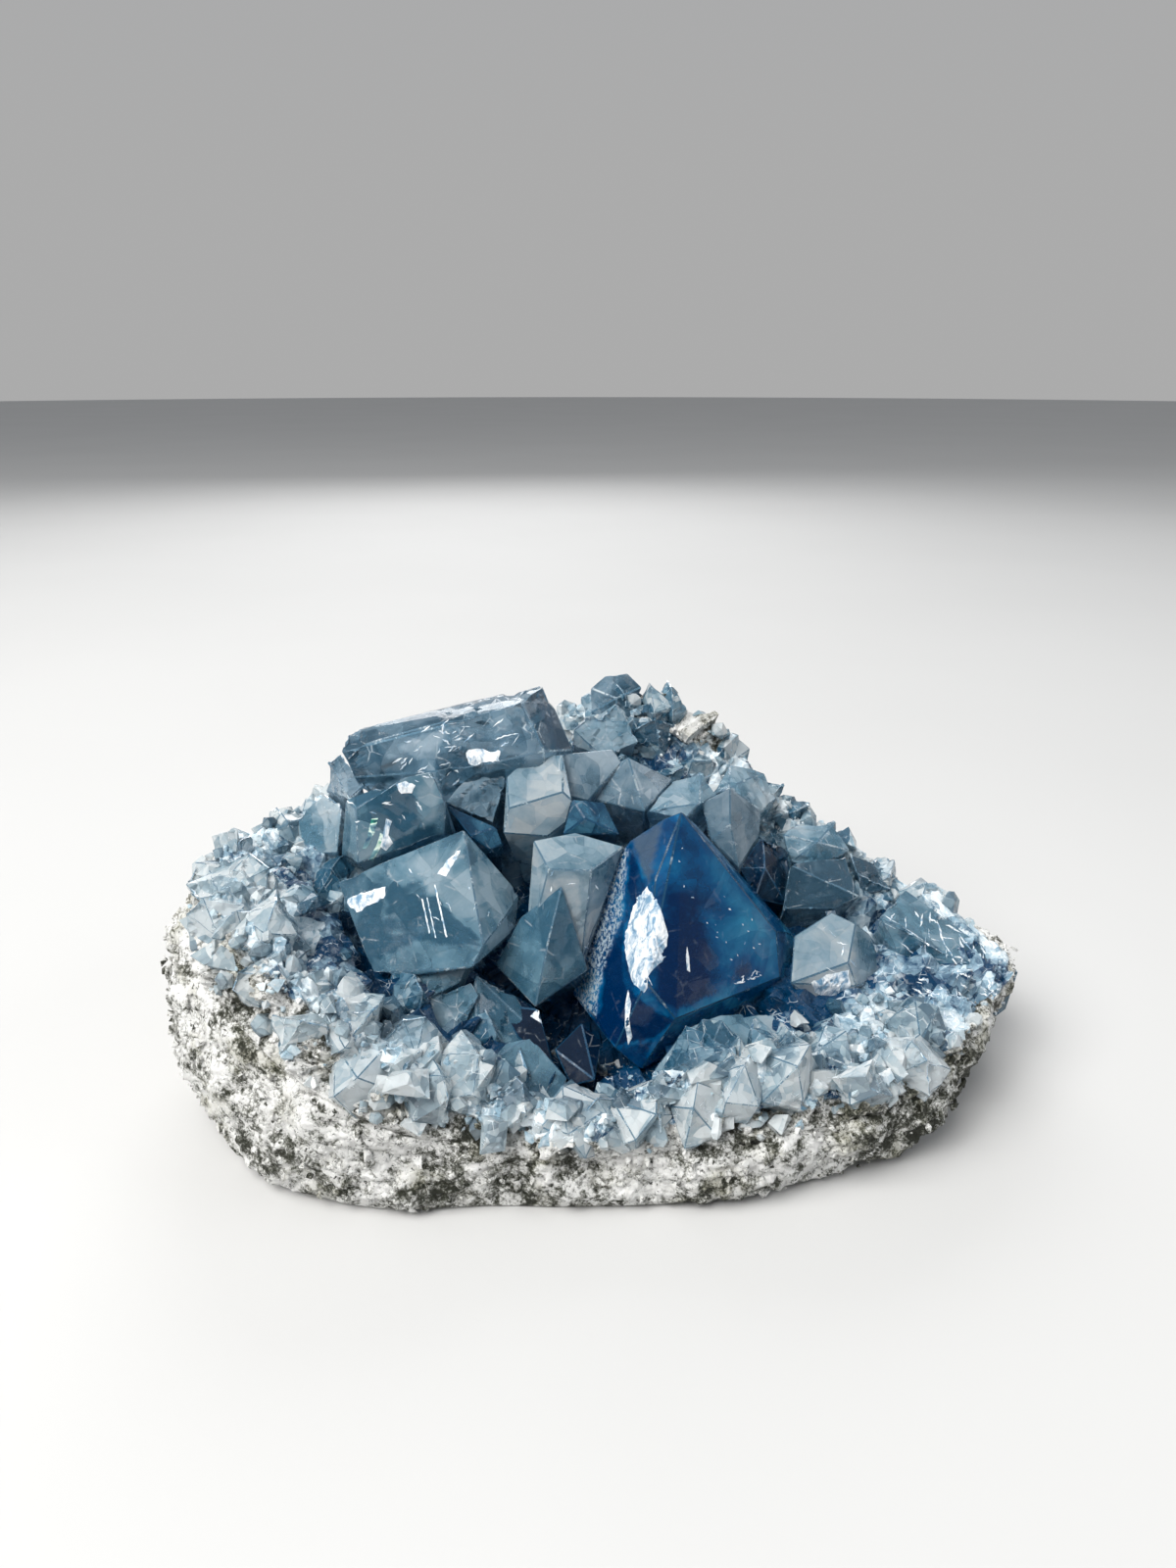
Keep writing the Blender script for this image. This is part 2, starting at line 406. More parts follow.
# How parts of the large crystals differ from their colour: for each crystal, "dark",
# "light", "frost" or "grey", how much, how many pixels the change takes and the outline in
# the picture
TINTS = {
    "front": (
        ("grey", 0.85, 3, ((642, 857), (679, 834), (669, 874), (662, 907), (651, 877))),
        ("dark", 0.6, 5, ((651, 877), (662, 907), (640, 945), (636, 990), (640, 1012), (612, 1036),
         (614, 987), (635, 935), (642, 860))),
        ("frost", 1.0, 3, ((642, 858), (636, 935), (617, 987), (609, 1038), (578, 1026), (576, 1008),
         (587, 990), (614, 888))),
        ("light", 0.55, 3, ((812, 950), (813, 1003), (803, 1012), (796, 1003), (799, 950), (786, 920))),
        ("light", 0.45, 3, ((805, 1012), (755, 1034), (736, 1025), (700, 1039), (688, 1043), (690, 1030),
         (735, 1012), (757, 1020), (797, 1003))),
        ("light", 0.3, 30, ((690, 836), (729, 859), (811, 955), (797, 1003), (750, 1000), (740, 940),
         (705, 890))),
        ("light", 0.6, 25, ((735, 880), (811, 955), (800, 1003), (765, 1010), (745, 960))),
        ("light", 0.3, 6, ((742, 1004), (770, 990), (790, 984), (789, 993), (748, 1011))),
        ("dark", 0.5, 30, ((672, 870), (720, 900), (750, 1018), (688, 1044), (655, 1016), (668, 979))),
        ("dark", 0.9, 20, ((676, 953), (750, 1018), (688, 1044), (655, 1016), (668, 979))),
        ("dark", 0.9, 4, ((638, 1009), (690, 1042), (668, 1060), (627, 1068), (600, 1040))),
        ("dark", 0.6, 4, ((627, 1068), (668, 1060), (657, 1096), (640, 1090))),
    ),
    "top_left_block": (
        ("dark", 0.9, 3, ((556, 696), (571, 720), (580, 740), (586, 768), (556, 768), (532, 716))),
        ("grey", 0.9, 3, ((556, 696), (571, 720), (580, 740), (586, 768), (566, 768), (545, 716))),
        ("light", 0.6, 3, ((420, 732), (500, 708), (556, 694), (534, 716), (470, 727), (420, 742))),
        ("grey", 0.5, 3, ((420, 732), (500, 708), (556, 694), (534, 716), (470, 727), (420, 742))),
        ("dark", 0.6, 3, ((352, 760), (372, 752), (396, 772), (420, 780), (400, 800), (360, 800))),
        ("dark", 0.7, 3, ((440, 775), (470, 758), (480, 780), (500, 790), (520, 770), (540, 768),
         (530, 796), (450, 812))),
        ("light", 0.5, 3, ((404, 762), (430, 748), (462, 742), (450, 760), (424, 776))),
    ),
    "left_middle": (
        ("light", 0.45, 2, ((474, 846), (500, 868), (520, 892), (533, 914), (527, 948), (512, 966),
         (500, 930), (488, 890))),
        ("light", 0.7, 2, ((484, 908), (503, 902), (512, 913), (498, 919))),
        ("light", 0.6, 3, ((505, 948), (524, 938), (518, 956), (500, 972), (492, 962))),
        ("light", 0.7, 2, ((436, 905), (456, 876), (473, 848), (478, 860), (458, 890), (442, 912))),
        ("dark", 0.45, 2, ((397, 906), (428, 898), (436, 905), (428, 948), (410, 952), (392, 948))),
        ("dark", 0.6, 2, ((376, 962), (408, 952), (470, 950), (492, 966), (426, 960), (384, 980))),
        ("dark", 0.9, 2, ((424, 916), (443, 912), (470, 940), (490, 960), (450, 951), (427, 938))),
        ("dark", 0.3, 2, ((340, 895), (396, 876), (400, 905), (376, 960), (345, 950))),
        ("light", 0.35, 12, ((400, 880), (470, 852), (488, 890), (500, 940), (450, 950), (430, 900))),
        ("dark", 0.5, 3, ((330, 940), (376, 955), (384, 985), (360, 990), (330, 970))),
    ),
    "middle": (
        ("light", 0.45, 8, ((548, 892), (612, 892), (606, 985), (560, 985))),
        ("light", 0.6, 2, ((560, 900), (572, 896), (566, 924), (556, 930))),
        ("dark", 0.35, 2, ((590, 896), (606, 892), (600, 960), (592, 940))),
    ),
    "under_block": (
        ("dark", 0.5, 3, ((352, 800), (372, 792), (384, 806), (404, 812), (396, 822), (360, 822))),
        ("light", 0.45, 4, ((420, 806), (446, 790), (450, 834), (430, 850))),
        ("dark", 0.6, 4, ((396, 858), (430, 846), (446, 840), (440, 862), (404, 880))),
    ),
    "crust": (
        ("dark", 1.0, 3, ((485, 990), (504, 984), (560, 1000), (600, 990), (640, 1080), (609, 1106),
         (560, 1090), (525, 1060))),
        ("dark", 0.8, 4, ((600, 980), (860, 900), (860, 1035), (800, 1030), (650, 1095), (600, 1060))),
        ("dark", 0.55, 6, ((905, 930), (1000, 960), (1035, 990), (1010, 1050), (930, 1020))),
    ),
    "back_left_table": (
        ("light", 0.3, 3, ((575, 760), (640, 760), (640, 830), (575, 830))),
    ),
    "right_shoulder": (
        ("light", 0.35, 3, ((700, 800), (790, 800), (790, 880), (700, 880))),
    ),
    "middle_low": (
        ("dark", 0.3, 3, ((500, 940), (560, 960), (600, 990), (547, 1030), (500, 990))),
        ("dark", 0.3, 3, ((500, 900), (610, 900), (610, 1035), (500, 1035))),
    ),
    "pit_low": (
        ("dark", 1.0, 2, ((540, 1000), (680, 1000), (680, 1120), (540, 1120))),
    ),
    "pit_left": (
        ("dark", 1.0, 2, ((460, 960), (640, 960), (640, 1120), (460, 1120))),
    ),
    "frosted": (
        ("dark", 1.4, 3, ((488, 985), (600, 985), (600, 1110), (540, 1080), (500, 1040))),
    ),
    "right_bright": (
        ("light", 1.0, 3, ((825, 993), (867, 986), (869, 1014), (846, 1034), (815, 1016))),
        ("light", 0.3, 3, ((805, 960), (850, 925), (905, 960), (900, 1000), (845, 1036), (805, 1012))),
        ("dark", 0.35, 4, ((868, 958), (900, 955), (904, 993), (873, 1011))),
    ),
    "right_end": (
        ("dark", 0.35, 6, ((912, 941), (960, 968), (978, 979), (976, 1025), (969, 1043), (935, 1007))),
        ("dark", 0.6, 5, ((985, 945), (1045, 985), (1030, 1040), (985, 1050), (978, 985))),
    ),
    "right_slab": (
        ("dark", 1.0, 3, ((780, 860), (890, 860), (890, 940), (780, 940))),
    ),
    "ridge_low": (
        ("dark", 0.7, 3, ((780, 840), (900, 840), (900, 940), (780, 940))),
    ),
    "ridge_light": (
        ("dark", 0.6, 3, ((780, 855), (860, 855), (860, 940), (780, 940))),
    ),
    "right_dark": (
        ("dark", 0.4, 3, ((720, 840), (860, 840), (860, 940), (720, 940))),
    ),
    "under_block_right": (
        ("light", 0.3, 4, ((535, 773), (573, 771), (575, 809), (540, 806))),
    ),
}

# Where the picture shows no small crystals and no fragments before the large ones
KEPT_CLEAR = (
    ((890, 930), (923, 905), (1000, 945), (1050, 990), (1042, 1010), (1000, 1020), (978, 1040), (969, 1046),
        (935, 1012), (900, 985)),
    ((811, 955), (849, 930), (890, 940), (906, 975), (904, 993), (894, 1008), (842, 1037), (805, 1012)),
    ((485, 990), (504, 984), (560, 1000), (600, 990), (640, 1080), (609, 1106), (560, 1090), (525, 1060)),
    ((345, 900), (473, 847), (531, 913), (528, 950), (482, 985), (420, 1000), (375, 985)),
    ((600, 1000), (680, 830), (812, 955), (803, 1015), (690, 1045), (657, 1095)),
    ((350, 760), (520, 730), (590, 770), (590, 830), (450, 850), (350, 870)),
)

# How far the crust lies back there, in millimetres
CLEAR_SUNK = 1.4

# Where the small crystals along the rim are deeper blue, and by how much
DEEPER = 0.45
DEEPER_PARTS = (
    ((330, 1050), (400, 1040), (470, 1060), (560, 1112), (520, 1135), (440, 1140), (345, 1100)),
    ((560, 1116), (640, 1090), (720, 1050), (740, 1064), (700, 1110), (620, 1132)),
    ((300, 870), (335, 880), (345, 960), (318, 1000), (296, 930)),
    ((880, 1010), (960, 1045), (950, 1062), (870, 1040)),
    ((600, 1140), (650, 1136), (655, 1160), (608, 1166)),
)

# Where rock shows on the crust high up, at the crest behind the peak
STONE_PATCHES = (((652, 704), (700, 712), (742, 742), (736, 762), (700, 756), (664, 736)),)

# How strongly the crystals bend light, and how high their finest roughness stands in metres
IOR = 1.62
GRIT = 0.0003

# The colours of a rainbow fracture, from one side of its bands to the other
RAINBOW = (
    (0.34, (0.01, 0.04, 0.08)),
    (0.43, (0.03, 0.3, 0.2)),
    (0.49, (0.85, 0.95, 0.85)),
    (0.55, (0.2, 0.4, 0.42)),
    (0.64, (0.02, 0.08, 0.16)),
)


def length_setting(name, description, default, smallest=0.0):
    """A length that a user may change. Default and smallest are millimetres."""
    return FloatProperty(
        name=name, description=description, default=default * MM, min=smallest * MM, unit="LENGTH"
    )


def colour_setting(name, description, default):
    """A colour that a user may change."""
    return FloatVectorProperty(
        name=name, description=description, default=default, subtype="COLOR", min=0.0, max=1.0
    )


class RockSettings(PropertyGroup):
    """The granular rock that the crystals grow on."""

    lump_height: length_setting("Lump height", "How far the broad lumps of the rock stand out", 1.3)
    grain_height: length_setting("Grain height", "How far the grains of the rock stand out", 0.6)
    grain_across: length_setting("Grain width", "How far across the grains of the rock are", 1.9, 0.1)
    grain_size: length_setting("Loose grain size", "Width of the grains that stand on the rock", 1.5, 0.2)
    pale: colour_setting("Pale grains", "Colour of the rock's pale grains", (0.93, 0.93, 0.91))
    grey: colour_setting("Grey grains", "Colour of the rock between its pale grains", (0.21, 0.215, 0.185))
    dark: colour_setting("Dark specks", "Colour of the olive and dark specks", (0.03, 0.032, 0.022))


class CrystalSettings(PropertyGroup):
    """The crystals and the crust that they stand on."""

    edge: length_setting("Edge wear", "Width of the worn edges of the large crystals", 0.17)
    fragment: length_setting("Fragment size", "Width of the largest broken fragments on the crust", 4.2, 0.5)
    crust_pale: colour_setting("Rim colour", "Colour of the crust along its rim", (0.24, 0.37, 0.46))
    crust_deep: colour_setting(
        "Hollow colour", "Colour of the crust deep in the hollow", (0.001, 0.034, 0.09)
    )
    seed: IntProperty(name="Seed", description="Seed of the places of the small fragments", default=5, min=0)


class StageSettings(PropertyGroup):
    """The floor and the light."""

    floor: colour_setting("Floor colour", "Colour of the floor", (0.56, 0.56, 0.555))
    key: FloatProperty(
        name="Main light",
        description="Power of the large soft light above the front, in watts",
        default=12.5,
        min=0.0,
    )
    sky: FloatProperty(
        name="Surrounding light",
        description="Strength of the even light from all round",
        default=0.62,
        min=0.0,
    )


def frame_shift():
    """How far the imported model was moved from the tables, from the block's highest corner."""
    apex = max((v.co for v in frame["nodes"]["crystals"].data.vertices), key=lambda co: co.z)
    return apex / MM - Vector(LARGE["top_left_block"]["end"][0])


SHIFT = frame_shift()
EYE_IN_FRAME = (EYE + SHIFT) * MM


def to_frame(mesh, lowest=None):
    """A bmesh in the tables' millimetres, kept above lowest, moved and scaled into the frame."""
    if lowest is not None:
        for vertex in mesh.verts:
            vertex.co.z = max(vertex.co.z, lowest)
    bmesh.ops.transform(mesh, matrix=Matrix.Scale(MM, 4) @ Matrix.Translation(SHIFT), verts=mesh.verts)


def mesh_object(name, mesh, materials=()):
    """The bmesh as an object of the scene, with its faces outward and each there once."""
    data = bpy.data.meshes.new(name)
    mesh.to_mesh(data)
    mesh.free()
    data.validate(clean_customdata=False)
    for item in materials:
        data.materials.append(item)
    made = bpy.data.objects.new(name, data)
    bpy.context.scene.collection.objects.link(made)
    return made


def finished(piece):
    """The piece rides on the cluster and takes its finish from the named slot."""
    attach(piece, ROOT)


def off_from(azimuth, middle):
    """How many degrees one direction is away from another."""
    return abs((azimuth - middle + 180.0) % 360.0 - 180.0)


def bowl_value(column, azimuth):
    """A column of BOWL at any direction, on a smooth closed curve through its rows."""
    count = len(BOWL)
    azimuth %= 360.0
    at = max(i for i in range(count) if BOWL[i][0] <= azimuth)
    rows = [BOWL[(at + step) % count] for step in (-1, 0, 1, 2)]
    places = [row[0] + 360.0 * ((at + step) // count) for row, step in zip(rows, (-1, 0, 1, 2))]
    values = [row[column] for row in rows]
    span = places[2] - places[1]
    t = (azimuth - places[1]) / span
    slope_in = (values[2] - values[0]) / (places[2] - places[0]) * span
    slope_out = (values[3] - values[1]) / (places[3] - places[1]) * span
    return (
        (2 * t**3 - 3 * t**2 + 1) * values[1]
        + (t**3 - 2 * t**2 + t) * slope_in
        + (3 * t**2 - 2 * t**3) * values[2]
        + (t**3 - t**2) * slope_out
    )


def at_angle(radius, azimuth, height):
    """The point that far out in that direction."""
    turn = math.radians(azimuth)
    return Vector((radius * math.cos(turn), radius * math.sin(turn), height))


def front_share(azimuth):
    """1 straight to the front, falling to 0 at HOLLOW_FROM_FRONT degrees from it."""
    away = off_from(azimuth, FRONT)
    return max(0.0, math.cos(math.radians(min(90.0, away * 90.0 / HOLLOW_FROM_FRONT))))


def crust_surface(azimuth, place):
    """A point on the crust. Place runs from 0 at the seam to 1 at the rim and 2 in the middle."""
    seam, rim, low, high = (bowl_value(column, azimuth) for column in (SEAM_R, RIM_R, SEAM_Z, RIM_Z))
    if place <= 1.0:
        radius = seam + (rim - seam) * place**2
        return at_angle(radius, azimuth, low + (high - low) * math.sin(place * math.pi / 2))
    share = 2.0 - place
    lower = CRUST_DIP * front_share(azimuth) * math.sin(math.pi * share) ** 0.8
    return at_angle(rim * share, azimuth, CRUST_FLOOR + (high - CRUST_FLOOR) * share**1.3 - lower)


def crust_normal(azimuth, place):
    """The way out of the crust, from two short steps along it."""
    turn = 2.0
    step = 0.04
    along = crust_surface(azimuth + turn, place) - crust_surface(azimuth, place)
    inward = crust_surface(azimuth, place + step) - crust_surface(azimuth, place - step)
    normal = along.cross(inward).normalized()
    return normal if normal.z > -0.2 else -normal


def crust_outward(azimuth, place):
    """The way out of the crust, off its seam and its middle, where two steps don't fit."""
    return crust_normal(azimuth, min(max(place, 0.06), 1.94))


def facet(point, across, tilt, seed):
    """How far a point stands out where the surface breaks into flat tilted facets."""
    place = point / across + Vector((seed, seed, seed))
    cell = noise.voronoi(place)[1][0]
    lean = noise.cell_vector(cell * 13.7) - Vector((0.5, 0.5, 0.5))
    lift = noise.cell(cell * 7.3 + Vector((3.1, 0.0, 0.0)))
    return (lean.dot(place - cell) * 2.0 * tilt + (lift - 0.5) * 0.5 * tilt) * across


def ramp(value, low, high):
    """0 below low, 1 above high, and smooth between them."""
    share = min(1.0, max(0.0, (value - low) / (high - low)))
    return share * share * (3.0 - 2.0 * share)


# Materials


class Nodes:
    """A node tree under construction, with short calls that add nodes and link them."""

    def __init__(self, tree):
        self.tree = tree

    def put(self, socket, value):
        """Links another socket into this one, or sets a plain value or colour on it."""
        if isinstance(value, bpy.types.NodeSocket):
            self.tree.links.new(value, socket)
        else:
            socket.default_value = (*value[:3], 1.0) if socket.type == "RGBA" else value

    def add(self, kind, inputs=None, **properties):
        """A node with those properties and inputs, each input by its name or number."""
        node = self.tree.nodes.new(kind)
        for name, value in properties.items():
            setattr(node, name, value)
        for name, value in (inputs or {}).items():
            self.put(node.inputs[name], value)
        return node

    def maths(self, operation, first, *others):
        """An operation on the first value and the next, then on the result and the one after."""
        for other in others:
            first = self.add("ShaderNodeMath", {0: first, 1: other}, operation=operation).outputs[0]
        return first

    def plus(self, *values):
        return self.maths("ADD", *values)

    def minus(self, *values):
        return self.maths("SUBTRACT", *values)

    def times(self, *values):
        return self.maths("MULTIPLY", *values)

    def vector(self, operation, first, second):
        """The outputs of an operation on two vectors."""
        return self.add("ShaderNodeVectorMath", {0: first, 1: second}, operation=operation).outputs

    def ramp(self, value, low, high, to_low=0.0, to_high=1.0):
        """The value's place between low and high, set between two others."""
        ends = {"From Min": low, "From Max": high, "To Min": to_low, "To Max": to_high}
        return self.add("ShaderNodeMapRange", {**ends, "Value": value}).outputs["Result"]

    def mix(self, share, first, second, blend="MIX"):
        """A colour between two."""
        mixed = self.add("ShaderNodeMix", data_type="RGBA", blend_type=blend)
        for number, value in ((0, share), (6, first), (7, second)):
            self.put(mixed.inputs[number], value)
        return mixed.outputs[2]

    def noise(self, place, scale, detail=4.0, rough=0.55, distortion=0.0, output="Fac"):
        """Cloudy noise. The scale is per metre."""
        values = {"Scale": scale, "Detail": detail, "Roughness": rough, "Distortion": distortion}
        return self.add("ShaderNodeTexNoise", {**values, "Vector": place}).outputs[output]

    def cells(self, place, scale, feature="F1"):
        """The outputs of a pattern of cells. The scale is per metre."""
        return self.add("ShaderNodeTexVoronoi", {"Scale": scale, "Vector": place}, feature=feature).outputs

    def place(self):
        """The point of the surface, in metres."""
        return self.add("ShaderNodeTexCoord").outputs["Object"]

    def attribute(self, name, output="Fac"):
        return self.add("ShaderNodeAttribute", attribute_name=name).outputs[output]

    def split(self, colour):
        """The red, green and blue of a colour."""
        return self.add("ShaderNodeSeparateColor", {"Color": colour}).outputs


class Look(Nodes):
    """A material under construction, around its Principled shader."""

    def __init__(self, name):
        self.made = bpy.data.materials.new(name)
        self.made.use_nodes = True
        super().__init__(self.made.node_tree)
        self.tree.nodes.clear()
        self.shader = self.add("ShaderNodeBsdfPrincipled")
        self.output = self.add("ShaderNodeOutputMaterial", {"Surface": self.shader.outputs["BSDF"]})

    def surface(self, **inputs):
        """Sets or links the shader's inputs, with _ for the spaces in their names."""
        for name, value in inputs.items():
            self.put(self.shader.inputs[name.replace("_", " ")], value)

    def relief(self, height, strength=1.0, distance=1.0):
        """Shades the surface as if it rose by the height times the distance in metres."""
        bump = {"Strength": strength, "Distance": distance, "Height": height}
        self.surface(Normal=self.add("ShaderNodeBump", bump).outputs["Normal"])

    def group(self, name, inputs):
        """The outputs of a node of that group, which is built the first time."""
        tree = bpy.data.node_groups.get(name) or GROUPS[name]()
        return self.add("ShaderNodeGroup", inputs, node_tree=tree).outputs


class Group(Nodes):
    """A shader group under construction. It puts out a colour, a roughness and a height."""

    def __init__(self, name, colours, amounts):
        super().__init__(bpy.data.node_groups.new(name, "ShaderNodeTree"))
        for label, value in {**colours, **amounts}.items():
            kind = "NodeSocketColor" if label in colours else "NodeSocketFloat"
            socket = self.tree.interface.new_socket(label, in_out="INPUT", socket_type=kind)
            socket.default_value = (*value, 1.0) if label in colours else value
        for label, kind in (("Color", "Color"), ("Roughness", "Float"), ("Height", "Float")):
            self.tree.interface.new_socket(label, in_out="OUTPUT", socket_type="NodeSocket" + kind)
        self.into = self.add("NodeGroupInput").outputs

    def put_out(self, colour, roughness, height):
        self.add("NodeGroupOutput", {"Color": colour, "Roughness": roughness, "Height": height})
        return self.tree


def facet_lean(tree, cells, place):
    """The height of flat facets that lean at random, one for each cell."""
    away = tree.vector("SUBTRACT", place, cells["Position"])["Vector"]
    lean = tree.vector("SUBTRACT", cells["Color"], (0.5, 0.5, 0.5))["Vector"]
    return tree.vector("DOT_PRODUCT", away, lean)["Value"]


def crystal_face_group():
    """The inside of a clear crystal as it shows through its faces, and their polish."""
    g = Group(
        CRYSTAL_FACE,
        {"Deep": (0.1, 0.2, 0.3), "Clear": (0.3, 0.5, 0.7), "Haze": (0.6, 0.7, 0.8)},
        {"Tone": 0.0, "Facets": 0.5, "Facet size": 170.0, "Polish": 0.06, "Frost": 0.3, "Cracks": 0.5},
    )
    place = g.place()
    bend = g.noise(place, 70.0, 2.0, 0.5, output="Color")
    shift = g.vector("SUBTRACT", bend, (0.5, 0.5, 0.5))["Vector"]
    bent = g.vector("ADD", place, g.vector("MULTIPLY", shift, (0.006, 0.006, 0.006))["Vector"])["Vector"]
    size = g.into["Facet size"]
    large = g.cells(bent, size)
    small = g.cells(bent, g.times(size, 3.1))
    edges = g.cells(bent, g.times(size, 1.7), "DISTANCE_TO_EDGE")
    cloud = g.noise(place, 110.0, 6.0, 0.62, 0.5)
    wide = g.times(g.split(large["Color"])["Red"], 0.65)
    steps = g.plus(wide, g.times(g.split(small["Color"])["Green"], 0.35))
    steps = g.times(g.minus(steps, 0.5), g.into["Facets"])
    tone = g.plus(g.ramp(cloud, 0.3, 0.72), steps, g.into["Tone"])
    colour = g.mix(g.ramp(tone, 0.0, 0.5), g.into["Deep"], g.into["Clear"])
    colour = g.mix(g.ramp(tone, 0.5, 1.1), colour, g.into["Haze"])
    lines = g.ramp(edges["Distance"], 0.0, 0.035, 1.0, 0.0)
    cracks = g.times(lines, g.ramp(g.noise(place, 330.0, 3.0, 0.6), 0.52, 0.62))
    flecks = g.times(g.ramp(g.noise(place, 2300.0, 2.0, 0.6), 0.68, 0.76), g.ramp(cloud, 0.42, 0.6))
    marks = g.times(g.plus(cracks, flecks), g.into["Cracks"])
    colour = g.mix(marks, colour, (0.82, 0.9, 0.95))
    frost = g.times(g.ramp(g.noise(place, 260.0, 6.0, 0.65, 0.8), 0.5, 0.62), g.into["Frost"])
    rough = g.plus(g.plus(frost, g.into["Polish"]), g.times(marks, 0.3))
    height = g.plus(g.times(facet_lean(g, large, bent), 0.17), g.times(facet_lean(g, small, bent), 0.18))
    grit = g.times(g.noise(place, 1300.0, 4.0, 0.65), g.into["Frost"])
    return g.put_out(colour, rough, g.plus(g.times(height, g.into["Facets"]), g.times(grit, GRIT)))


def granular_group():
    """Grains of rock: their colour between pale, grey and dark, and their height."""
    g = Group(
        GRANULAR,
        {"Pale": (0.8, 0.8, 0.8), "Grey": (0.4, 0.4, 0.4), "Dark": (0.05, 0.05, 0.04)},
        {"Tone": 0.5},
    )
    place = g.place()
    grains = g.cells(place, 1050.0)
    gaps = g.cells(place, 1050.0, "DISTANCE_TO_EDGE")
    middle = g.noise(place, 430.0, 5.0, 0.68, 0.3)
    fine = g.noise(place, 2500.0, 5.0, 0.75)
    tone = g.plus(
        g.times(g.split(grains["Color"])["Red"], 0.4),
        g.into["Tone"],
        g.ramp(g.noise(place, 75.0, 6.0, 0.66, 0.5), 0.33, 0.67, -0.6, 0.6),
        g.ramp(middle, 0.3, 0.7, -0.75, 0.75),
        g.ramp(fine, 0.3, 0.7, -0.55, 0.55),
    )
    # The rock is darker under the overhanging right side and along the foot
    away = g.add("ShaderNodeSeparateXYZ", {0: place}).outputs
    under = g.times(g.ramp(away["X"], 0.03, 0.055), g.ramp(away["Z"], 0.018, 0.004))
    tone = g.minus(tone, g.times(under, 0.8), g.ramp(away["Z"], 0.007, 0.001, 0.0, 0.2))
    colour = g.mix(g.ramp(tone, 0.33, 0.85), g.into["Grey"], g.into["Pale"])
    soil = g.ramp(g.noise(place, 130.0, 4.0, 0.6), 0.52, 0.66)
    colour = g.mix(g.times(soil, 0.45), colour, (0.34, 0.33, 0.22))
    gap = g.times(g.ramp(gaps["Distance"], 0.0, 0.16, 0.8, 0.0), g.ramp(middle, 0.56, 0.4))
    specks = g.ramp(g.noise(place, 900.0, 4.0, 0.72, 0.3), 0.6, 0.66)
    for share in (g.ramp(tone, 0.35, 0.0), gap, specks):
        colour = g.mix(share, colour, g.into["Dark"])
    height = g.minus(g.times(fine, 1.0), g.times(grains["Distance"], 0.6))
    return g.put_out(colour, g.ramp(fine, 0.3, 0.7, 0.95, 0.55), g.plus(height, g.times(middle, 1.6)))


CRYSTAL_FACE = "crystal face"
GRANULAR = "granular"
GROUPS = {CRYSTAL_FACE: crystal_face_group, GRANULAR: granular_group}


def crystal_material(name, colours, facets, size, polish, frost, cracks, clear, absorb, density, toned=False):
    """A see-through crystal. Absorb and density set the blue that thickness gives a large one."""
    look = Look(name)
    dark, light, frosting = list(look.split(look.attribute("paint", "Color")))[:3]
    tone = look.minus(light, dark)
    if toned:
        tone = look.plus(tone, look.ramp(look.attribute("tone"), 0.0, 1.0, -0.6, 0.4))
        outward = look.vector("MULTIPLY", look.place(), (*RIM_SHARE, 0.0))["Vector"]
        far = look.vector("DOT_PRODUCT", outward, outward)["Value"]
        tone = look.plus(tone, look.ramp(far, 0.25, 0.9, -0.12, 0.55))
    face = look.group(CRYSTAL_FACE, {
        **dict(zip(("Deep", "Clear", "Haze"), colours)),
        "Tone": tone, "Facets": facets, "Facet size": size, "Polish": polish,
        "Frost": look.plus(frosting, frost), "Cracks": cracks,
    })
    colour = look.mix(look.times(look.attribute("smoke"), 0.85), face["Color"], (0.11, 0.16, 0.22))
    glitter = look.ramp(look.noise(look.place(), 1900.0, 3.0, 0.7), 0.47, 0.54)
    colour = look.mix(look.times(glitter, frosting), colour, (0.6, 0.74, 0.84))
    if toned:
        pale = look.mix(0.5, colour, (0.8, 0.84, 0.84), "LIGHTEN")
        colour = look.mix(look.ramp(far, 0.5, 1.0, 0.0, 0.55), colour, pale)
    shine = 0.5 if toned else (0.2 if density > 50.0 else 0.4)
    look.surface(
        Base_Color=colour, Roughness=face["Roughness"], IOR=IOR, Specular_IOR_Level=shine,
        Transmission_Weight=clear,
    )
    look.relief(face["Height"])
    if not toned:
        volume = look.add("ShaderNodeVolumeAbsorption", {"Color": absorb, "Density": density})
        look.put(look.output.inputs["Volume"], volume.outputs["Volume"])
    look.made.diffuse_color = (*colours[1], 1.0)
    return look.made


# One over half the cluster's length and depth in metres, for how far out a point lies
RIM_SHARE = (14.5, 24.4)

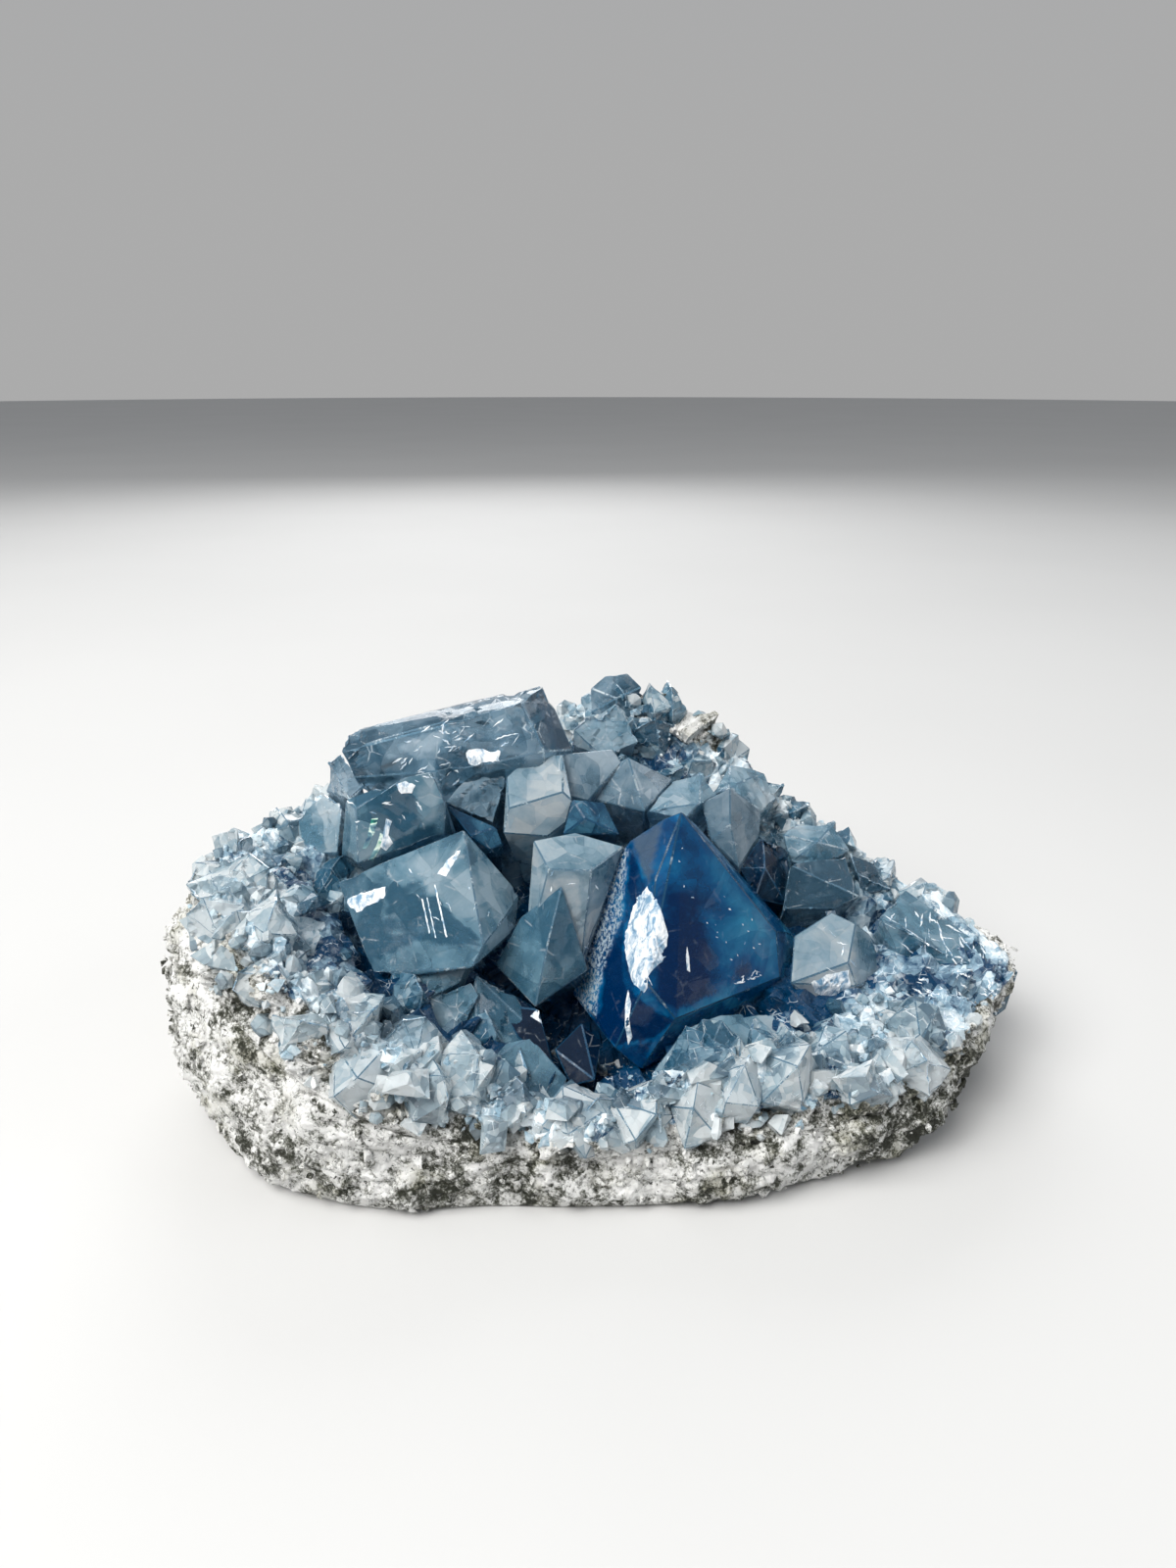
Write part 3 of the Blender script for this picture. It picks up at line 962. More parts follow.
# The finishes: the colours deep inside, where clear and where hazy, how strong the inner
# facets are and how many fit in a metre, the polish, frost and cracks, the clear share,
# and the tint and density that thickness gives
RECIPES = {
    "deep": (((0.0, 0.03, 0.12), (0.0, 0.12, 0.33), (0.04, 0.35, 0.62)),
             0.3, 90.0, 0.03, 0.05, 0.1, 0.5, (0.2, 0.66, 0.95), 80.0),
    "blue": (((0.05, 0.17, 0.27), (0.2, 0.4, 0.53), (0.5, 0.68, 0.79)),
             0.8, 120.0, 0.04, 0.1, 0.5, 0.6, (0.4, 0.7, 0.88), 20.0),
    "smoky": (((0.05, 0.13, 0.2), (0.2, 0.34, 0.45), (0.52, 0.66, 0.76)),
              0.9, 140.0, 0.04, 0.12, 0.6, 0.6, (0.45, 0.7, 0.84), 20.0),
    "pale": (((0.13, 0.3, 0.42), (0.4, 0.59, 0.71), (0.8, 0.9, 0.95)),
             0.9, 140.0, 0.04, 0.12, 0.6, 0.6, (0.6, 0.82, 0.94), 8.0),
    "dark": (((0.0, 0.014, 0.045), (0.008, 0.065, 0.14), (0.08, 0.26, 0.4)),
             0.8, 150.0, 0.04, 0.1, 0.3, 0.5, (0.2, 0.58, 0.85), 110.0),
    "small": (((0.05, 0.15, 0.24), (0.36, 0.52, 0.61), (0.88, 0.94, 0.96)),
              1.7, 260.0, 0.05, 0.16, 0.9, 0.5, (0.7, 0.86, 0.94), 8.0, True),
    "milky": (((0.04, 0.15, 0.25), (0.24, 0.42, 0.54), (0.8, 0.88, 0.92)),
              1.4, 240.0, 0.05, 0.16, 0.8, 0.5, (0.55, 0.78, 0.9), 12.0, True),
}


def shared(name, build, *values):
    """The material of that name, built the first time that it is asked for."""
    return bpy.data.materials.get(name) or build(name, *values)


def finish_material(finish):
    """The material of one of the crystal finishes."""
    return shared("celestite " + finish, crystal_material, *RECIPES[finish])


def edge_material(deep=False):
    """The material of worn edges, on a deep blue or on any other crystal."""
    if deep:
        return shared("worn deep edge", worn_material, (0.02, 0.12, 0.25), 0.6, 0.7)
    return shared("worn edge", worn_material, (0.16, 0.32, 0.45), 0.52, 0.64)


def worn_material(name, plain, low, high):
    """The worn edge of a crystal: a line that is bright only here and there."""
    look = Look(name)
    chips = look.noise(look.place(), 300.0, 5.0, 0.7)
    colour = look.mix(look.ramp(chips, low, high), plain, (0.72, 0.84, 0.9))
    rough = look.ramp(chips, 0.4, 0.7, 0.08, 0.4)
    look.surface(Base_Color=colour, Roughness=rough, IOR=IOR, Transmission_Weight=0.6)
    return look.made


def rainbow_material():
    """A thin fracture inside the crystal that splits light into white, green and a little red."""
    look = Look("rainbow fracture")
    bands = look.noise(look.place(), 380.0, 2.0, 0.5, 0.8)
    colours = look.add("ShaderNodeValToRGB", {"Fac": bands})
    stops = colours.color_ramp.elements
    while len(stops) < len(RAINBOW):
        stops.new(0.5)
    for stop, (where, colour) in zip(stops, RAINBOW):
        stop.position = where
        stop.color = (*colour, 1.0)
    look.surface(Base_Color=colours.outputs["Color"], Roughness=0.12, IOR=IOR)
    return look.made


def frosted_material():
    """Broken pale crystal that is no longer clear, in tones that change from piece to piece."""
    look = Look("frosted crystal")
    tone = look.attribute("tone")
    colour = look.mix(look.ramp(tone, 0.0, 0.7), (0.2, 0.34, 0.44), (0.48, 0.63, 0.71))
    colour = look.mix(look.ramp(tone, 0.7, 1.0), colour, (0.84, 0.91, 0.93))
    mottle = look.noise(look.place(), 900.0, 5.0, 0.65)
    colour = look.mix(look.times(look.ramp(mottle, 0.45, 0.65), 0.6), colour, (0.84, 0.89, 0.91))
    rough = look.ramp(mottle, 0.3, 0.7, 0.15, 0.6)
    look.surface(Base_Color=colour, Roughness=rough, IOR=IOR, Transmission_Weight=0.25)
    look.relief(mottle, 0.6, 0.0005)
    return look.made


def granular(look, settings, tone=None):
    """The granular group in a material, in the rock's colours."""
    inputs = {"Pale": settings.pale, "Grey": settings.grey, "Dark": settings.dark}
    return look.group(GRANULAR, inputs if tone is None else {**inputs, "Tone": tone})


def crust_material(settings, rock):
    """Massive crystal, pale along the rim and deep blue in the hollow, with rock over its edge."""
    look = Look("crystal crust")
    place = look.place()
    depth = look.attribute("depth")
    paint = look.split(look.attribute("paint", "Color"))
    tone = look.plus(look.ramp(depth, 0.0, 1.0, 0.2, -1.2), look.minus(paint["Green"], paint["Red"]))
    face = look.group(CRYSTAL_FACE, {
        "Deep": settings.crust_deep, "Clear": settings.crust_pale, "Haze": (0.76, 0.82, 0.85),
        "Tone": tone, "Facets": 1.3, "Facet size": 290.0, "Polish": 0.12, "Frost": 0.35, "Cracks": 0.7,
    })
    fine = look.noise(place, 1100.0, 4.0, 0.65)
    white = look.times(
        look.ramp(fine, 0.54, 0.62), look.ramp(depth, 0.0, 0.5, 0.7, 0.0),
        look.ramp(paint["Red"], 0.0, 0.5, 1.0, 0.0)
    )
    colour = look.mix(white, face["Color"], (0.84, 0.88, 0.89))
    grains = granular(look, rock)
    broad = look.noise(place, 220.0, 5.0, 0.6, 0.5)
    ragged = look.plus(look.attribute("stone"), look.ramp(broad, 0.25, 0.75, -0.4, 0.4))
    stone = look.ramp(ragged, 0.42, 0.58)
    rough = look.add("ShaderNodeMix", {0: stone, 2: face["Roughness"], 3: grains["Roughness"]}).outputs[0]
    look.surface(Base_Color=look.mix(stone, colour, grains["Color"]), Roughness=rough, IOR=IOR)
    height = look.plus(look.times(face["Height"], look.minus(1.0, stone)), look.times(fine, GRIT))
    look.relief(look.plus(height, look.times(grains["Height"], stone, 0.0006)))
    return look.made


def rock_material(name, settings, toned=False):
    """Grey-white granular rock with pale grains, grey gaps and olive and dark specks."""
    look = Look(name)
    tone = look.ramp(look.attribute("tone"), 0.0, 1.0, 0.25, 0.85) if toned else None
    grains = granular(look, settings, tone)
    look.surface(Base_Color=grains["Color"], Roughness=grains["Roughness"])
    look.relief(grains["Height"], 0.8, 0.0007)
    return look.made


def white_material():
    """Bruised and crushed crystal, bright white."""
    look = Look("bruised crystal")
    drawn = look.vector("MULTIPLY", look.place(), (1.0, 1.0, 0.4))["Vector"]
    crush = look.noise(drawn, 700.0, 6.0, 0.68, 0.8)
    colour = look.mix(look.ramp(crush, 0.4, 0.54), (0.16, 0.3, 0.44), (0.9, 0.93, 0.95))
    look.surface(Base_Color=colour, Roughness=look.ramp(crush, 0.3, 0.7, 0.7, 0.3))
    look.relief(crush, 0.7, 0.0006)
    return look.made


# Shapes


def hull_mesh(points):
    """The convex solid through the outermost of the points, as a bmesh."""
    mesh = bmesh.new()
    for point in points:
        mesh.verts.new(point)
    result = bmesh.ops.convex_hull(mesh, input=mesh.verts[:])
    spare = {item for item in result["geom_interior"] + result["geom_unused"]}
    bmesh.ops.delete(mesh, geom=[v for v in spare if isinstance(v, bmesh.types.BMVert)], context="VERTS")
    bmesh.ops.recalc_face_normals(mesh, faces=mesh.faces[:])
    return mesh


def worn(mesh, width):
    """The sharp edges cut back by the width, in the second material, as on a handled crystal."""
    bmesh.ops.dissolve_limit(mesh, angle_limit=math.radians(3.0), verts=mesh.verts[:], edges=mesh.edges[:])
    sharp = [e for e in mesh.edges if len(e.link_faces) == 2 and e.calc_face_angle() > math.radians(18.0)]
    cut = bmesh.ops.bevel(mesh, geom=sharp, offset=width, segments=1, affect="EDGES", clamp_overlap=True)
    for face in cut["faces"]:
        face.material_index = 1
    bmesh.ops.triangulate(mesh, faces=mesh.faces[:])
    return mesh


def divided(mesh, longest):
    """The mesh with edges no longer than longest."""
    for _ in range(8):
        long = [e for e in mesh.edges if e.calc_length() > longest]
        if not long:
            break
        bmesh.ops.subdivide_edges(mesh, edges=long, cuts=1)
        bmesh.ops.triangulate(mesh, faces=[f for f in mesh.faces if len(f.verts) > 3])
    return mesh


def broken(mesh, amount, across, share, seed):
    """Patches of the faces broken back into small steps and conchoidal facets.

    Amount is how deep, across how wide the facets are, and share how much of the
    surface is broken.
    """
    divided(mesh, max(0.8, across * 0.3))
    mesh.normal_update()
    moves = []
    for vertex in mesh.verts:
        spot = vertex.co / 11.0 + Vector((seed, 0.7 * seed, 0.0))
        patch = noise.fractal(spot, 1.0, 2.0, 2)
        where = ramp(patch, 0.35 - share, 0.55 - share)
        depth = 0.45 + facet(vertex.co, across, 0.32, seed) / across
        moves.append(-vertex.normal * where * amount * max(0.0, depth))
    for vertex, move in zip(mesh.verts, moves):
        vertex.co += move
    return mesh


def grown_points(corners, root, keep):
    """A crystal's corners, and the same corners drawn together around its root."""
    middle = sum(corners, Vector()) / len(corners)
    return corners + [root + (corner - middle) * keep for corner in corners]


def large_points(shape):
    """The points of a row of LARGE."""
    corners = []
    for part, points in shape.items():
        if part not in ("root", "keep"):
            corners += [Vector(point) for point in points]
    return grown_points(corners, Vector(shape["root"]), shape["keep"])


def middle_points(points):
    """The points of a row of MIDDLE."""
    corners = [Vector(point) for point in points]
    root = sum(corners, Vector()) / len(corners) + Vector(ROOT_SHIFT)
    return grown_points(corners, root, MIDDLE_KEEP)


def column_points(foot, tip, wide, thin, roll):
    """A five-sided crystal with a chisel tip, from foot to tip."""
    axis = (tip - foot).normalized()
    side = axis.orthogonal().normalized()
    side.rotate(Matrix.Rotation(roll, 3, axis))
    across = axis.cross(side)
    shoulder = tip - axis * wide * TIP_LENGTH
    points = []
    for u, v in SECTION:
        offset = side * u * wide + across * v * thin
        points += [shoulder + offset, foot + offset * FOOT_KEEP]
    return points + [tip + side * wide * TIP_EDGE, tip - side * wide * TIP_EDGE]


def joined(name, meshes, materials):
    """Several bmeshes as one piece of crystal."""
    whole = bmesh.new()
    for mesh in meshes:
        data = bpy.data.meshes.new("part")
        mesh.to_mesh(data)
        mesh.free()
        whole.from_mesh(data)
        bpy.data.meshes.remove(data)
    finished(mesh_object(name, whole, materials))


def copy_of(node):
    """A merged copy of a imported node's mesh."""
    mesh = bmesh.new()
    mesh.from_mesh(frame["nodes"][node].data)
    bmesh.ops.remove_doubles(mesh, verts=mesh.verts[:], dist=1e-6)
    return mesh


def sight(px, py):
    """The line of sight through a pixel of the picture."""
    across = (px - PICTURE[0] / 2) / FOCAL_PIXELS
    up = (PICTURE[1] / 2 - py) / FOCAL_PIXELS
    return (AHEAD + Vector((1.0, 0.0, 0.0)) * across + ABOVE * up).normalized()


def picture_point(point):
    """Where a point in the tables' millimetres shows in the picture, in pixels."""
    away = point - EYE
    scale = away.dot(AHEAD)
    across = FOCAL_PIXELS * away.x / scale
    up = FOCAL_PIXELS * away.dot(ABOVE) / scale
    return Vector((PICTURE[0] / 2 + across, PICTURE[1] / 2 - up))


def extent(rows):
    """The lowest and the highest coordinates of an outline."""
    return Vector([min(values) for values in zip(*rows)]), Vector([max(values) for values in zip(*rows)])


def within(spot, rows):
    """Whether a spot of the picture lies inside an outline."""
    inside = False
    for a, b in zip(rows, rows[1:] + rows[:1]):
        if (a.y > spot.y) != (b.y > spot.y) and spot.x < (b.x - a.x) * (spot.y - a.y) / (b.y - a.y) + a.x:
            inside = not inside
    return inside


def edge_gap(spot, rows):
    """How far a spot of the picture is from an outline."""
    gaps = []
    for a, b in zip(rows, rows[1:] + rows[:1]):
        _, share = geometry.intersect_point_line(spot, a, b)
        gaps.append((spot - a.lerp(b, min(1.0, max(0.0, share)))).length)
    return min(gaps)


def painted(mesh, name):
    """Writes how dark, light, frosted and grey each point of a crystal is, from TINTS."""
    layer = mesh.verts.layers.float_color.new("paint")
    smoke = mesh.verts.layers.float.new("smoke")
    rows = [
        (("dark", "light", "frost", "grey").index(kind), amount, soft, [Vector(p) for p in outline])
        for kind, amount, soft, outline in TINTS.get(name, ())
    ]
    mesh.normal_update()
    for vertex in mesh.verts:
        values = [0.0, 0.0, 0.0, 0.0]
        if vertex.normal.dot(EYE - vertex.co) > 0:
            spot = picture_point(vertex.co)
            near = vertex.co * 0.9
            spot += Vector((noise.noise(near), noise.noise(near + Vector((9, 9, 9))))) * 2.5
            for kind, amount, soft, outline in rows:
                if within(spot, outline):
                    share = amount * ramp(edge_gap(spot, outline), 0.0, soft)
                    values[kind] = max(values[kind], share)
        vertex[layer] = (*values[:3], 1.0)
        vertex[smoke] = values[3]
    return mesh


def fracture_outline(draw, rows, length, width, angle):
    """An uneven sliver somewhere inside an outline of the picture."""
    low, high = extent(rows)
    spot = Vector((draw.uniform(low.x, high.x), draw.uniform(low.y, high.y)))
    while not within(spot, rows):
        spot = Vector((draw.uniform(low.x, high.x), draw.uniform(low.y, high.y)))
    turn = math.radians(angle + draw.gauss(0.0, 30.0))
    along = Vector((math.cos(turn), math.sin(turn)))
    across = Vector((-along.y, along.x))
    long = length * draw.uniform(0.4, 1.4)
    wide = width * draw.uniform(0.4, 1.5)
    steps = 5
    upper = []
    lower = []
    for i in range(steps + 1):
        share = i / steps
        swell = math.sin(math.pi * min(0.97, max(0.03, share)))
        middle = spot + along * long * (share - 0.5) + across * draw.uniform(-0.5, 0.5) * wide
        upper.append(middle + across * wide * swell * draw.uniform(0.3, 0.8))
        lower.append(middle - across * wide * swell * draw.uniform(0.3, 0.8))
    return [(p.x, p.y) for p in upper + lower[::-1]]


def bruise_mesh(name, outline, rise):
    """A thin lens of crushed crystal that lies in the crystal's face behind a pixel outline."""
    crystal = bpy.data.objects[name if name == "crust" else "crystal_" + name]
    tree = BVHTree.FromObject(crystal, bpy.context.evaluated_depsgraph_get())
    rows = [Vector(p) for p in outline]
    low, high = extent(rows)
    places = []
    for start, end in zip(rows, rows[1:] + rows[:1]):
        steps = max(1, int((end - start).length / 3.0))
        for step in range(steps):
            spot = start.lerp(end, step / steps)
            where = Vector((spot.x, spot.y, 0.0)) * 0.37
            uneven = Vector((noise.noise(where), noise.noise(where + Vector((7.0, 3.0, 1.0)))))
            places.append(spot + uneven * min(2.0, 0.05 * (high.x - low.x)))
    ring = [(i, (i + 1) % len(places)) for i in range(len(places))]
    y = low.y + INSET
    while y < high.y:
        x = low.x + INSET
        while x < high.x:
            spot = Vector((x, y))
            if within(spot, rows) and edge_gap(spot, rows) > INSET:
                places.append(spot)
            x += SPACING
        y += SPACING
    flat, _, faces, _, _, _ = geometry.delaunay_2d_cdt(places, ring, [], 1, 1e-4)
    mesh = bmesh.new()
    upper = []
    lower = []
    for spot in flat:
        line = sight(spot.x, spot.y)
        hit, normal, _, _ = tree.ray_cast(EYE_IN_FRAME, line)
        if hit is None:
            reach = (EYE_IN_FRAME - crystal.data.vertices[0].co).length
            hit, normal, _, _ = tree.find_nearest(EYE_IN_FRAME + line * reach)
        swell = ramp(edge_gap(spot, rows), 0.0, 5.0)
        rough = 0.5 + noise.noise(Vector((spot.x, spot.y, 0.0)) * 0.35)
        upper.append(mesh.verts.new(hit + normal * MM * (0.04 + rise * swell * (0.3 + rough))))
        lower.append(mesh.verts.new(hit - normal * MM * (0.15 + 0.3 * swell)))
    for face in faces:
        mesh.faces.new([upper[i] for i in face])
        mesh.faces.new([lower[i] for i in reversed(face)])
    rim = [e for e in mesh.edges if len(e.link_faces) == 1 and e.verts[0] in upper and e.verts[1] in upper]
    for edge in rim:
        a, b = (upper.index(v) for v in edge.verts)
        mesh.faces.new((upper[a], upper[b], lower[b], lower[a]))
    bmesh.ops.recalc_face_normals(mesh, faces=mesh.faces[:])
    return mesh


def scatter_tree():
    """Broken forms set on a surface, with random size, turn and tone."""
    tree = bpy.data.node_groups.new("scatter broken forms", "GeometryNodeTree")
    sockets = (
        ("Geometry", "Geometry", None),
        ("Form 1", "Object", None),
        ("Form 2", "Object", None),
        ("Form 3", "Object", None),
        ("Closest", "Float", 0.002),
        ("Most", "Float", 100000.0),
        ("Smallest", "Float", 0.001),
        ("Largest", "Float", 0.003),
        ("Turn", "Float", 1.0),
        ("Seed", "Int", 1),
        ("Material", "Material", None),
    )
    for label, kind, value in sockets:
        socket = tree.interface.new_socket(label, in_out="INPUT", socket_type="NodeSocket" + kind)
        if value is not None:
            socket.default_value = value
    tree.interface.new_socket("Geometry", in_out="OUTPUT", socket_type="NodeSocketGeometry")
    nodes = Nodes(tree)
    add = nodes.add
    into = add("NodeGroupInput").outputs
    cover = add("GeometryNodeInputNamedAttribute", {"Name": "cover"}, data_type="FLOAT").outputs["Attribute"]
    points = add("GeometryNodeDistributePointsOnFaces", distribute_method="POISSON")
    for label, value in (
        ("Mesh", into["Geometry"]),
        ("Distance Min", into["Closest"]),
        ("Density Max", into["Most"]),
        ("Density Factor", cover),
        ("Seed", into["Seed"]),
    ):
        nodes.put(points.inputs[label], value)
    forms = add("GeometryNodeJoinGeometry")
    for label in ("Form 1", "Form 2", "Form 3"):
        info = add("GeometryNodeObjectInfo", {"Object": into[label], "As Instance": True})
        nodes.put(forms.inputs["Geometry"], info.outputs["Geometry"])
    random_value = "FunctionNodeRandomValue"
    which = add(random_value, {"Min": 0, 5: 2, "Seed": into["Seed"]}, data_type="INT").outputs[2]
    share = add(random_value, {"Seed": 17}, data_type="FLOAT").outputs[1]
    low_bias = nodes.maths("POWER", share, 2.2)
    size = nodes.ramp(low_bias, 0.0, 1.0, into["Smallest"], into["Largest"])
    ends = {0: (-1.0, -1.0, -3.14), 1: (1.0, 1.0, 3.14)}
    spin = add(random_value, {**ends, "Seed": 31}, data_type="FLOAT_VECTOR").outputs[0]
    both = add("ShaderNodeCombineXYZ", {"X": into["Turn"], "Y": into["Turn"], "Z": 1.0}).outputs[0]
    euler = add("FunctionNodeEulerToRotation", {0: nodes.vector("MULTIPLY", spin, both)["Vector"]}).outputs[0]
    turns = {"Rotation": points.outputs["Rotation"], "Rotate By": euler}
    rotation = add("FunctionNodeRotateRotation", turns, rotation_space="LOCAL").outputs[0]
    placed = add("GeometryNodeInstanceOnPoints", {
        "Points": points.outputs["Points"], "Instance": forms.outputs["Geometry"], "Pick Instance": True,
        "Instance Index": which, "Rotation": rotation, "Scale": size,
    })
    tone = add(random_value, {"Seed": 47}, data_type="FLOAT").outputs[1]
    store = add("GeometryNodeStoreNamedAttribute", {
        "Geometry": placed.outputs["Instances"], "Name": "tone",
    }, data_type="FLOAT", domain="INSTANCE")
    nodes.put(store.inputs["Value"], tone)
    real = add("GeometryNodeRealizeInstances", {"Geometry": store.outputs["Geometry"]})
    paint = {"Geometry": real.outputs["Geometry"], "Material": into["Material"]}
    add("NodeGroupOutput", {"Geometry": add("GeometryNodeSetMaterial", paint).outputs["Geometry"]})
    return tree


def broken_forms(blocky):
    """Three small broken forms, one unit wide, that the scatter tree repeats."""
    draw = random.Random(3)

    def lump(wide, thick, count):
        return [Vector((draw.uniform(-wide, wide), draw.uniform(-0.5, 0.5), draw.uniform(-thick, thick)))
                for _ in range(count)]

    slim = column_points(Vector((0, 0, -0.5)), Vector((0.12, 0, 0.6)), 0.62, 0.5, 0.4)
    if blocky:
        slim = lump(0.4, 0.3, 12)
    shapes = (("form_slim", slim), ("form_chunk", lump(0.5, 0.35 if blocky else 0.5, 12)),
              ("form_thick", lump(0.6, 0.3 if blocky else 0.4, 11)))
    return [mesh_object(name, hull_mesh(points)) for name, points in shapes]


def scattered(name, host, material, closest, most, smallest, largest, turn, seed, blocky=False):
    """The scatter tree run on the host surface and turned into a piece with a plain mesh."""
    tree = scatter_tree()
    forms = broken_forms(blocky)
    step = host.modifiers.new("scatter", "NODES")
    step.node_group = tree
    values = {"Closest": closest, "Most": most, "Smallest": smallest, "Largest": largest, "Turn": turn}
    values.update({"Seed": seed, "Material": material})
    values.update({f"Form {number}": form for number, form in enumerate(forms, 1)})
    for item in tree.interface.items_tree:
        if item.in_out == "INPUT" and item.name in values:
            step[item.identifier] = values[item.name]
    host.update_tag()
    graph = bpy.context.evaluated_depsgraph_get()
    graph.update()
    data = bpy.data.meshes.new_from_object(
        host.evaluated_get(graph), preserve_all_data_layers=True, depsgraph=graph
    )
    if not data.polygons:
        raise RuntimeError(f"{name}: nothing was scattered")
    if not blocky:
        for vertex, shade in zip(data.vertices, data.attributes["tone"].data):
            if covered(vertex.co / MM - SHIFT, DEEPER_PARTS):
                shade.value -= DEEPER
    host.modifiers.remove(step)
    for vertex in data.vertices:
        vertex.co.z = max(vertex.co.z, 0.0)
    data.name = name
    made = bpy.data.objects.new(name, data)
    bpy.context.scene.collection.objects.link(made)
    for item in (*forms, host):
        bpy.data.objects.remove(item, do_unlink=True)
    bpy.data.node_groups.remove(tree)
    finished(made)


def crust_point(azimuth, place):
    """A point of the crust with its broken facets."""
    point = crust_surface(azimuth, place)
    lift = facet(point, 6.0, 0.42, 4.0) + facet(point, 2.4, 0.4, 9.0)
    if place > 0.2 and in_picture(azimuth, place, KEPT_CLEAR[1:]):
        lift -= CLEAR_SUNK
    return point + crust_outward(azimuth, place) * lift * ramp(place, 0.0, 0.15)


def depth_of(azimuth, place):
    """0 along the rim and the back, 1 deep in the front of the hollow."""
    return ramp(place, 1.02, 1.3) * (0.55 + 0.45 * front_share(azimuth))


def in_picture(azimuth, place, outlines):
    """Whether a place of the crust shows within one of the outlines in the picture."""
    point = crust_surface(azimuth, place)
    return crust_outward(azimuth, place).dot(EYE - point) >= 0 and covered(point, outlines)


def covered(point, outlines):
    """Whether a point shows within one of the outlines in the picture."""
    spot = picture_point(point)
    for outline in outlines:
        low, high = extent(outline)
        if low.x < spot.x < high.x and low.y < spot.y < high.y:
            if within(spot, [Vector(p) for p in outline]):
                return True
    return False


def stone_share(azimuth, place):
    """How much of the crust is under rock: its outer edge, and most of the left lobe's front."""
    if in_picture(azimuth, place, STONE_PATCHES):
        return 1.0
    if in_picture(azimuth, place, KEPT_CLEAR[:1]):
        return 0.0
    reach = STONE_REACH + (LOBE_REACH - STONE_REACH) * (1.0 - ramp(off_from(azimuth, LOBE), 14.0, 38.0))
    reach += CREST_REACH * (1.0 - ramp(off_from(azimuth, CREST), 5.0, 14.0))
    return 1.0 - ramp(place, reach * 0.4, reach)


def ring_faces(mesh, rings):
    """The faces between each ring of points and the next."""
    for low, high in zip(rings, rings[1:]):
        for i, j in around(len(low)):
            mesh.faces.new((low[i], low[j], high[j], high[i]))


def around(count):
    """The numbers of the points of a ring, each with the number of the next."""
    return [(i, (i + 1) % count) for i in range(count)]


def crust_patch(density):
    """The crust's upper surface alone, in the frame, with how thickly fragments cover it."""
    mesh = bmesh.new()
    cover = mesh.verts.layers.float.new("cover")
    rings = []
    for place in [0.02 + 1.9 * i / PATCH_ACROSS for i in range(PATCH_ACROSS + 1)]:
        ring = []
        for i in range(PATCH_AROUND):
            azimuth = 360.0 * i / PATCH_AROUND
            vertex = mesh.verts.new(crust_point(azimuth, place))
            vertex[cover] = density(azimuth, place)
            ring.append(vertex)
        rings.append(ring)
    ring_faces(mesh, rings)
    to_frame(mesh)
    return mesh_object("host", mesh)


# Operators


class CELESTITE_OT_rock(Operator):
    """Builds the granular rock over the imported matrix"""

    bl_idname = "celestite.rock"
    bl_label = "Granular rock"

    def execute(self, context):
        settings = context.scene.celestite_rock
        mesh = copy_of("matrix")
        for _ in range(3):
            bmesh.ops.subdivide_edges(mesh, edges=mesh.edges[:], cuts=1, use_grid_fill=True)
            bmesh.ops.triangulate(mesh, faces=[f for f in mesh.faces if len(f.verts) > 3])
            upper = [v for v in mesh.verts if v.co.z > 0.4 * MM]
            bmesh.ops.smooth_vert(
                mesh, verts=upper, factor=0.5, use_axis_x=True, use_axis_y=True, use_axis_z=True
            )
        mesh.normal_update()
        across = settings.grain_across / MM
        moves = []
        for vertex in mesh.verts:
            point = vertex.co / MM
            outward = Vector((vertex.co.x, vertex.co.y, 0.0)).normalized()
            if point.z > 8.0 and vertex.normal.dot(outward) < 0.1:
                # Under the crust, where the rock lies back so that it doesn't show through
                moves.append(vertex.normal * -2.0 * MM)
                continue
            broad = noise.fractal(point / 7.0, 1.0, 2.0, 3) * settings.lump_height
            grain = noise.voronoi(point / across)[0]
            fine = noise.voronoi(point / across * 1.9 + Vector((5.0, 1.0, 2.0)))[0]
            lift = (grain[1] - grain[0] - 0.3) * settings.grain_height * 1.6
            lift += (fine[1] - fine[0] - 0.3) * settings.grain_height * 0.8
            moves.append(vertex.normal * (broad + lift) * ramp(point.z, 0.2, 2.0))
        for vertex, move in zip(mesh.verts, moves):
            vertex.co += move
            vertex.co.z = max(vertex.co.z, 0.0)
        rock = mesh_object("rock", mesh, [rock_material("granular rock", settings)])
        for face in rock.data.polygons:
            face.use_smooth = True
        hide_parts("matrix")
        finished(rock)
        return {"FINISHED"}


